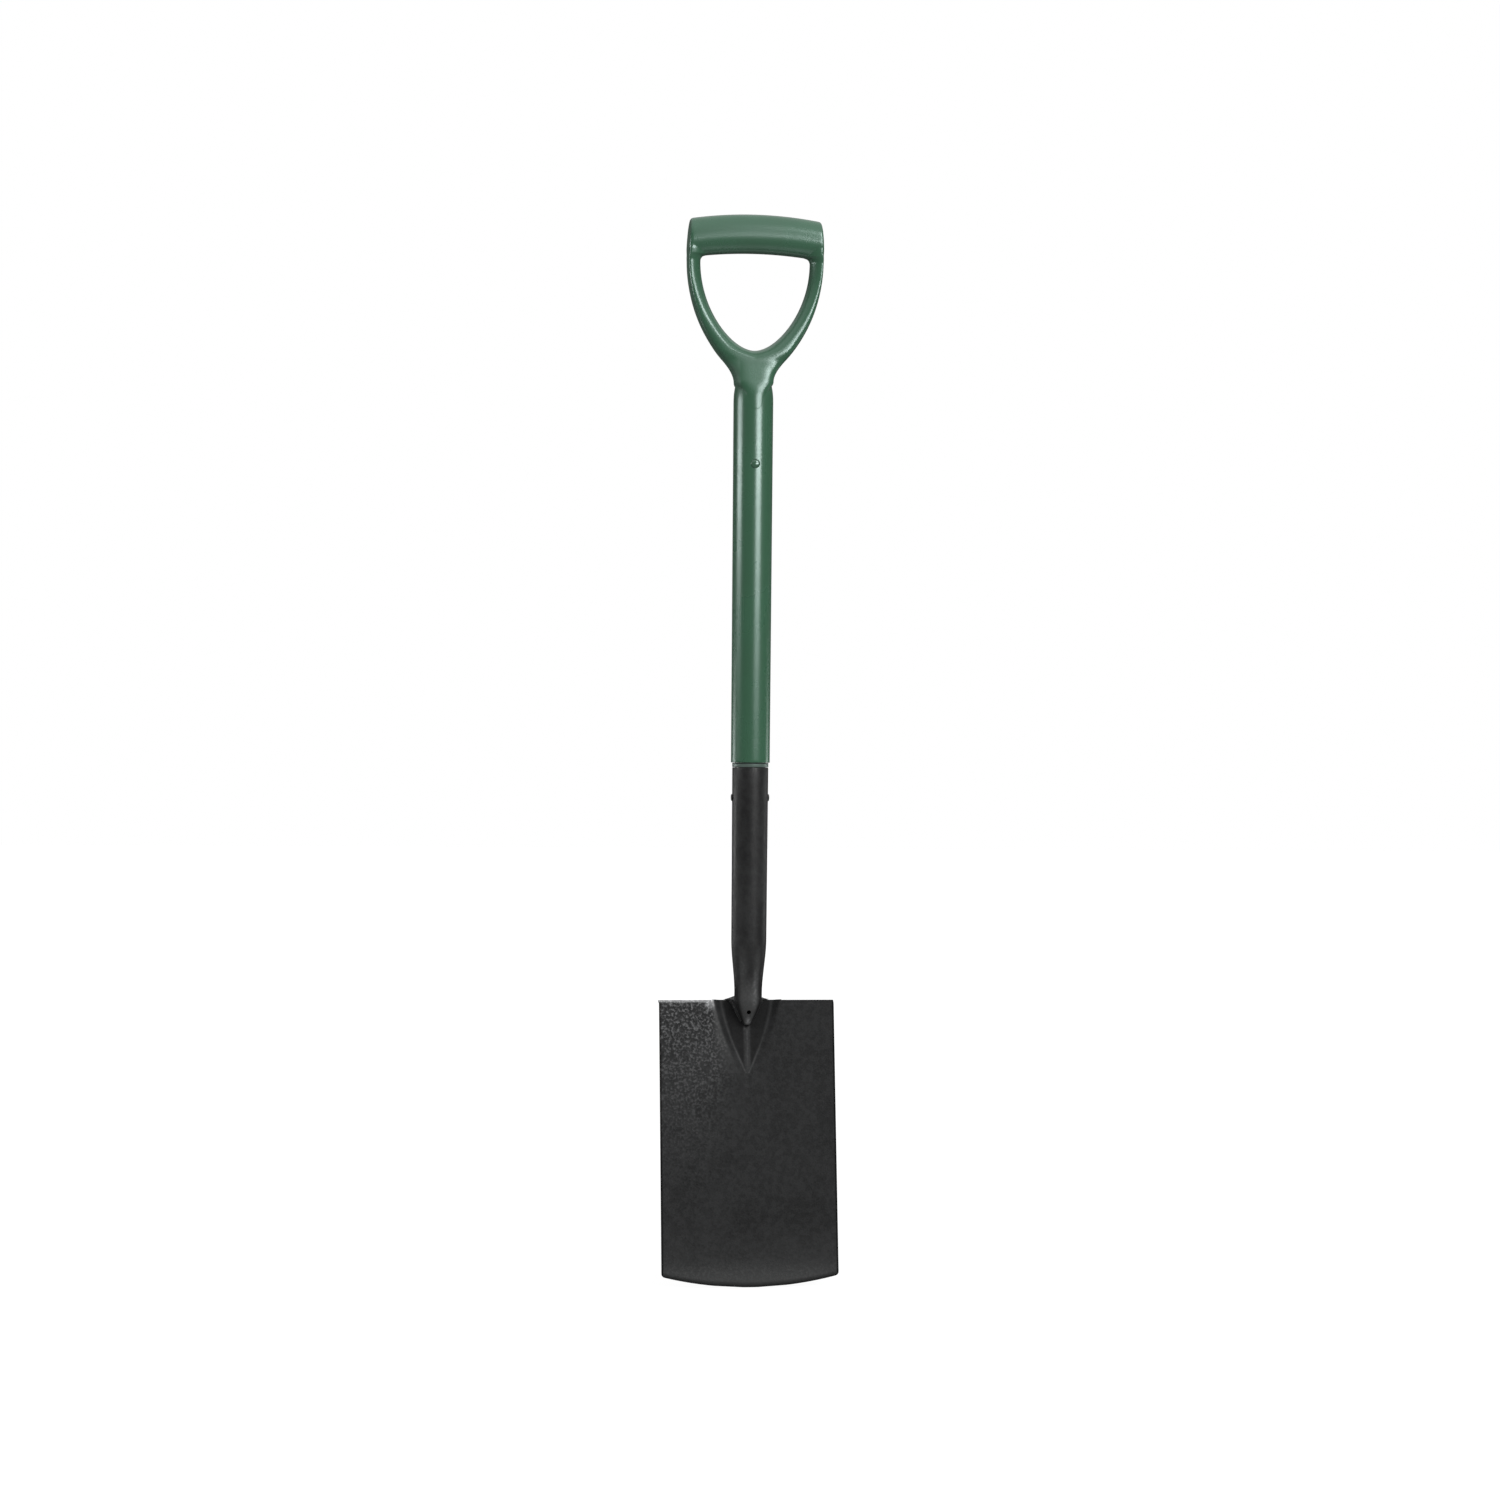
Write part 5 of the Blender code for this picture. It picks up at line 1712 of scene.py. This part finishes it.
    def mark(self, mesh: bpy.types.Mesh) -> None:
        """Writes a band of painted shade, which also dulls the plastic, in the crease at the neck's left side.

        Args:
            mesh: the grip's mesh.
        """
        painted_shade_band = mesh.attributes.new("painted_shade_band", "FLOAT", "POINT")
        for i, vertex in enumerate(mesh.vertices):
            # Painted shade, and duller gloss, in the crease.
            rise = (vertex.co.z - self.sleeve.dome_z - 0.022) / 0.016
            side = smoothstep((-vertex.co.x - 0.0145) / 0.0015)
            painted_shade_band.data[i].value = 0.65 * side * math.exp(-(rise**4))


# The rivets


@dataclass
class Rivet:
    """A through rivet with a domed head at each end."""

    name: str
    node: str
    level: float
    reach: float
    shank: float
    head: float
    rise: float
    axis: Axis
    slot: Slot

    @staticmethod
    def tree() -> bpy.types.NodeTree:
        """Geometry nodes for a rivet along Z: a shank with a domed head at each end."""
        group = bpy.data.node_groups.new("through_rivet", "GeometryNodeTree")
        face = group.interface
        for name in ("Reach", "Shank Radius", "Head Radius", "Head Rise"):
            face.new_socket(name, in_out="INPUT", socket_type="NodeSocketFloat")
        face.new_socket("Finish", in_out="INPUT", socket_type="NodeSocketMaterial")
        face.new_socket("Geometry", in_out="OUTPUT", socket_type="NodeSocketGeometry")
        tree = Tree(group)
        given = tree.node("NodeGroupInput").outputs
        ball = tree.node("GeometryNodeMeshUVSphere")
        ball.inputs["Segments"].default_value = 40
        ball.inputs["Rings"].default_value = 24
        ball.inputs["Radius"].default_value = 1.0
        where = tree.node("ShaderNodeSeparateXYZ")
        tree.feed(where.inputs["Vector"], tree.node("GeometryNodeInputPosition").outputs["Position"])
        place = tree.node("ShaderNodeCombineXYZ")
        tree.feed(place.inputs["X"], tree.math("MULTIPLY", where.outputs["X"], given["Head Radius"]))
        tree.feed(place.inputs["Y"], tree.math("MULTIPLY", where.outputs["Y"], given["Head Radius"]))
        lift = tree.math("MULTIPLY_ADD", tree.math("MAXIMUM", where.outputs["Z"], -0.3), 0.77, 0.23)
        tree.feed(place.inputs["Z"], tree.math("MULTIPLY", lift, given["Head Rise"]))
        dome = tree.node("GeometryNodeSetPosition")
        tree.feed(dome.inputs["Geometry"], ball.outputs["Mesh"])
        tree.feed(dome.inputs["Position"], place.outputs["Vector"])
        ends = tree.node("GeometryNodeMeshLine", mode="END_POINTS")
        ends.inputs["Count"].default_value = 2
        down = tree.node("ShaderNodeCombineXYZ")
        tree.feed(down.inputs["Z"], tree.math("MULTIPLY", given["Reach"], -1.0))
        up = tree.node("ShaderNodeCombineXYZ")
        tree.feed(up.inputs["Z"], given["Reach"])
        tree.feed(ends.inputs["Start Location"], down.outputs["Vector"])
        tree.feed(ends.inputs["Offset"], up.outputs["Vector"])
        flip = tree.node("ShaderNodeCombineXYZ")
        index = tree.node("GeometryNodeInputIndex").outputs["Index"]
        tree.feed(flip.inputs["X"], tree.math("MULTIPLY", tree.math("SUBTRACT", 1.0, index), math.pi))
        turn = tree.node("FunctionNodeEulerToRotation")
        tree.feed(turn.inputs["Euler"], flip.outputs["Vector"])
        lay = tree.node("GeometryNodeInstanceOnPoints")
        tree.feed(lay.inputs["Points"], ends.outputs["Mesh"])
        tree.feed(lay.inputs["Instance"], dome.outputs["Geometry"])
        tree.feed(lay.inputs["Rotation"], turn.outputs["Rotation"])
        shank = tree.node("GeometryNodeMeshCylinder")
        shank.inputs["Vertices"].default_value = 32
        tree.feed(shank.inputs["Radius"], given["Shank Radius"])
        tree.feed(shank.inputs["Depth"], tree.math("MULTIPLY", given["Reach"], 2.0))
        join = tree.node("GeometryNodeJoinGeometry")
        tree.tree.links.new(lay.outputs["Instances"], join.inputs["Geometry"])
        tree.tree.links.new(shank.outputs["Mesh"], join.inputs["Geometry"])
        real = tree.node("GeometryNodeRealizeInstances")
        tree.feed(real.inputs["Geometry"], join.outputs["Geometry"])
        dress = tree.node("GeometryNodeSetMaterial")
        tree.feed(dress.inputs["Geometry"], real.outputs["Geometry"])
        tree.feed(dress.inputs["Material"], given["Finish"])
        out = tree.node("NodeGroupOutput")
        tree.feed(out.inputs["Geometry"], dress.outputs["Geometry"])
        return group

    def build(self, datum: Datum, tree: bpy.types.NodeTree, finish: bpy.types.Material) -> None:
        """Builds and dresses the rivet.

        Args:
            datum: where the shaft stands.
            tree: the rivet's geometry tree.
            finish: its material.
        """
        obj = new_object(self.name, bmesh.new())
        sizes = {
            "Reach": self.reach,
            "Shank Radius": self.shank / 2,
            "Head Radius": self.head / 2,
            "Head Rise": self.rise,
            "Finish": finish,
        }
        run_tree(obj, tree, sizes)
        turn = Matrix.Rotation(math.pi / 2, 4, "Y" if self.axis is Axis.ACROSS else "X")
        obj.data.transform(Matrix.Translation((0, 0, self.level)) @ turn)
        datum.hand_in(obj, finish, [self.node], 45.0)


# The studio


@dataclass(frozen=True)
class Softbox:
    """A rectangular lamp, placed round the shaft and aimed at a point on it."""

    name: str
    azimuth: float
    distance: float
    height: float
    size: tuple[float, float]
    watts: float
    aim: float = 0.6
    spread: float = 180.0

    def build(self) -> None:
        """Adds the lamp."""
        data = bpy.data.lights.new(self.name, "AREA")
        data.shape = "RECTANGLE"
        data.size, data.size_y = self.size
        data.energy = self.watts
        data.spread = math.radians(self.spread)
        lamp = bpy.data.objects.new(self.name, data)
        bpy.context.scene.collection.objects.link(lamp)
        a = math.radians(self.azimuth)
        spot = Vector((math.sin(a) * self.distance, -math.cos(a) * self.distance, self.height))
        lamp.location = spot
        lamp.rotation_euler = (Vector((0, 0, self.aim)) - spot).to_track_quat("-Z", "Y").to_euler()


@dataclass
class Studio:
    """White floor and background, softboxes and the camera."""

    azimuth: float = -7.67
    elevation: float = -0.13
    distance: float = 3.0
    aim_x: float = -0.0004
    aim_z: float = 0.5230
    roll: float = 0.488
    lens: float = 73.13
    softboxes: list[Softbox] = field(
        default_factory=lambda: [
            Softbox("key_strip", 26.0, 2.1, 1.06, (1.05, 0.36), 16.5, 1.0),
            Softbox("high_strip", 30.0, 2.1, 1.85, (0.9, 0.7), 19.0, 0.9),
            Softbox("left_strip", -91.0, 1.7, 1.0, (0.9, 0.24), 7.2, 0.9),
            Softbox("low_strip", -123.0, 1.6, 0.4, (0.6, 0.3), 0.15, 0.44, 40.0),
            Softbox("low_right_strip", 110.0, 1.6, 0.4, (0.5, 0.3), 0.07, 0.44, 40.0),
        ]
    )

    def camera(self, datum: Datum) -> None:
        """Adds the camera at the photograph's viewing angle.

        Args:
            datum: where the shaft stands.
        """
        data = bpy.data.cameras.new("portrait_camera")
        data.lens = self.lens
        data.sensor_width = 36.0
        obj = bpy.data.objects.new("portrait_camera", data)
        bpy.context.scene.collection.objects.link(obj)
        a, e = math.radians(self.azimuth), math.radians(self.elevation)
        back = Vector((math.sin(a) * math.cos(e), -math.cos(a) * math.cos(e), math.sin(e)))
        right = (-back).cross(Vector((0, 0, 1))).normalized()
        turn = Matrix((right, back.cross(right), back)).transposed()
        turn = turn @ Matrix.Rotation(math.radians(self.roll), 3, "Z")
        spot = Vector((self.aim_x, datum.axis_y, self.aim_z)) + back * self.distance
        obj.matrix_world = Matrix.Translation(spot) @ turn.to_4x4()
        bpy.context.scene.camera = obj

    def floor(self) -> None:
        """Adds the pale floor, which keeps a faint shadow."""
        bm = bmesh.new()
        half = 14.0
        corners = [(-half, -half), (half, -half), (half, half), (-half, half)]
        bm.faces.new([bm.verts.new((x, y, -0.0006)) for x, y in corners])
        obj = new_object("floor", bm)
        made = bpy.data.materials.new("floor_paper")
        made.use_nodes = True
        made.node_tree.nodes.clear()
        tree = Tree(made.node_tree)
        paper = tree.node("ShaderNodeBsdfDiffuse")
        faint = tree.node("ShaderNodeBsdfDiffuse")
        faint.inputs["Color"].default_value = (0.12, 0.12, 0.12, 1.0)
        glow = tree.node("ShaderNodeEmission")
        reach = tree.node("ShaderNodeVectorMath", operation="LENGTH")
        tree.feed(reach.inputs[0], tree.node("ShaderNodeTexCoord").outputs["Object"])
        near, far = (0.6, 0.6, 0.6, 1.0), (0.12, 0.12, 0.12, 1.0)
        tree.feed(paper.inputs["Color"], tree.blend(tree.spread(reach.outputs["Value"], 0.2, 1.0, 0.0, 1.0), near, far))
        tree.feed(glow.inputs["Strength"], tree.spread(reach.outputs["Value"], 0.1, 1.6, 0.93, 1.0))
        seen = tree.node("ShaderNodeAddShader")
        tree.feed(seen.inputs[0], faint.outputs["BSDF"])
        tree.feed(seen.inputs[1], glow.outputs["Emission"])
        path = tree.node("ShaderNodeLightPath")
        choose = tree.node("ShaderNodeMixShader")
        tree.feed(choose.inputs["Fac"], path.outputs["Is Camera Ray"])
        tree.feed(choose.inputs[1], paper.outputs["BSDF"])
        tree.feed(choose.inputs[2], seen.outputs["Shader"])
        out = tree.node("ShaderNodeOutputMaterial")
        tree.feed(out.inputs["Surface"], choose.outputs["Shader"])
        obj.data.materials.append(made)

    def world(self) -> None:
        """Sets a white background, with a soft sky and a dark room in front for reflections."""
        world = bpy.data.worlds.new("white_sweep")
        world.use_nodes = True
        world.node_tree.nodes.clear()
        tree = Tree(world.node_tree)
        path = tree.node("ShaderNodeLightPath")
        way = tree.node("ShaderNodeSeparateXYZ")
        tree.feed(way.inputs["Vector"], tree.node("ShaderNodeTexCoord").outputs["Generated"])
        behind = tree.spread(way.outputs["Y"], 0.2, 0.9, 0.04, 0.12)
        overhead = tree.spread(way.outputs["Z"], 0.15, 0.75, 0.0, 0.85)
        mirrored = tree.math("MAXIMUM", path.outputs["Is Glossy Ray"], path.outputs["Is Transmission Ray"])
        left = tree.math("MULTIPLY", way.outputs["X"], -1.0)
        wall = tree.math("MULTIPLY", tree.spread(left, 0.75, 0.97, 0.0, 0.25), tree.spread(way.outputs["Z"], 0.02, 0.1, 1.0, 0.0))
        sky = tree.math("MAXIMUM", tree.math("MAXIMUM", behind, overhead), wall)
        ambient = tree.math("MULTIPLY_ADD", overhead, 0.8, 0.1)
        strength = tree.math("MULTIPLY_ADD", mirrored, tree.math("SUBTRACT", sky, ambient), ambient)
        plain = tree.node("ShaderNodeBackground")
        plain.inputs["Color"].default_value = (1.0, 1.0, 1.0, 1.0)
        tree.feed(plain.inputs["Strength"], strength)
        seen = tree.node("ShaderNodeBackground")
        seen.inputs["Color"].default_value = (1.0, 1.0, 1.0, 1.0)
        choose = tree.node("ShaderNodeMixShader")
        tree.feed(choose.inputs["Fac"], path.outputs["Is Camera Ray"])
        tree.feed(choose.inputs[1], plain.outputs["Background"])
        tree.feed(choose.inputs[2], seen.outputs["Background"])
        out = tree.node("ShaderNodeOutputWorld")
        tree.feed(out.inputs["Surface"], choose.outputs["Shader"])
        bpy.context.scene.world = world

    def blade_spot(self) -> None:
        """Adds the small lamp that rakes the upper left of the blade."""
        data = bpy.data.lights.new("blade_spot", "SPOT")
        data.energy = 45.0
        data.spot_size = math.radians(8)
        data.spot_blend = 1.0
        data.shadow_soft_size = 0.08
        lamp = bpy.data.objects.new("blade_spot", data)
        bpy.context.scene.collection.objects.link(lamp)
        lamp.location = (-0.75, -1.35, 1.25)
        aim = Vector((-0.08, 0.0, 0.25))
        lamp.rotation_euler = (aim - lamp.location).to_track_quat("-Z", "Y").to_euler()

    def build(self, datum: Datum) -> None:
        """Builds the whole studio.

        Args:
            datum: where the shaft stands.
        """
        self.camera(datum)
        self.floor()
        self.world()
        for softbox in self.softboxes:
            softbox.build()
        self.blade_spot()
        bpy.context.scene.view_settings.view_transform = "Standard"
        LOG.info("studio: camera and %d softboxes", len(self.softboxes))


def dress_tube(finish: bpy.types.Material) -> None:
    """Gives the hidden core tube its steel.

    Args:
        finish: the steel.
    """
    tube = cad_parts["shaft_tube"]
    for slot in tube.material_slots:
        slot.material = finish
    LOG.info("shaft_tube: kept as packed, in %s", finish.name)


def main() -> None:
    """Builds every piece, dresses it and sets it in place on the frame."""
    logging.basicConfig(level=logging.INFO, format="%(name)s: %(message)s")
    groups = ShadingGroups()
    coat = PowderCoat("black_powder_coat").material(groups)
    fine_coat = PowderCoat(
        "black_coat_smooth", relief=0.0002, smooth=0.34, rough=0.44, gloss=0.34, shade_dull=0.5
    ).material(groups)
    green = MouldedPlastic("moulded_green", (0.049, 0.135, 0.078), (0.041, 0.113, 0.063)).material(groups)
    enamel = MouldedPlastic("green_enamel", (0.055, 0.13, 0.08), (0.045, 0.105, 0.06), 0.16).material(groups)
    grey_green = MouldedPlastic("collar_grey_green", (0.10, 0.14, 0.12), (0.075, 0.105, 0.088), 0.34).material(groups)
    steel = BareSteel("drawn_steel").material(groups)

    blade = Blade()
    socket = Socket(blade)
    collar = Collar(socket)
    sleeve = Sleeve(collar)
    grip = Grip(sleeve)
    datum = Datum.from_frame(grip.top_z)
    LOG.info("datum: axis y %.5f, lift %.5f", datum.axis_y, datum.lift)

    blade.build(datum, coat)
    socket.build(datum, fine_coat)
    WeldBead(socket).build(datum, fine_coat)
    collar.build(datum, grey_green)
    sleeve.build(datum, grip, green)
    grip.build(datum, green)
    dress_tube(steel)

    rivet_tree = Rivet.tree()
    socket_rivet_z = socket.rim_z - 0.0297
    Rivet(
        "cross_rivet", "socket_rivet", socket_rivet_z, socket.radius(socket_rivet_z) + 0.0001,
        0.005, 0.007, 0.0013, Axis.ACROSS, Slot.COAT,
    ).build(datum, rivet_tree, fine_coat)
    Rivet(
        "grip_rivet", "handle_rivet", sleeve.rivet_z, sleeve.radius(sleeve.rivet_z) - sleeve.rivet_seat + 0.0001,
        0.005, 0.0085, 0.0018, Axis.THROUGH, Slot.ENAMEL,
    ).build(datum, rivet_tree, enamel)

    Studio().build(datum)


if __name__ == "__main__":
    main()
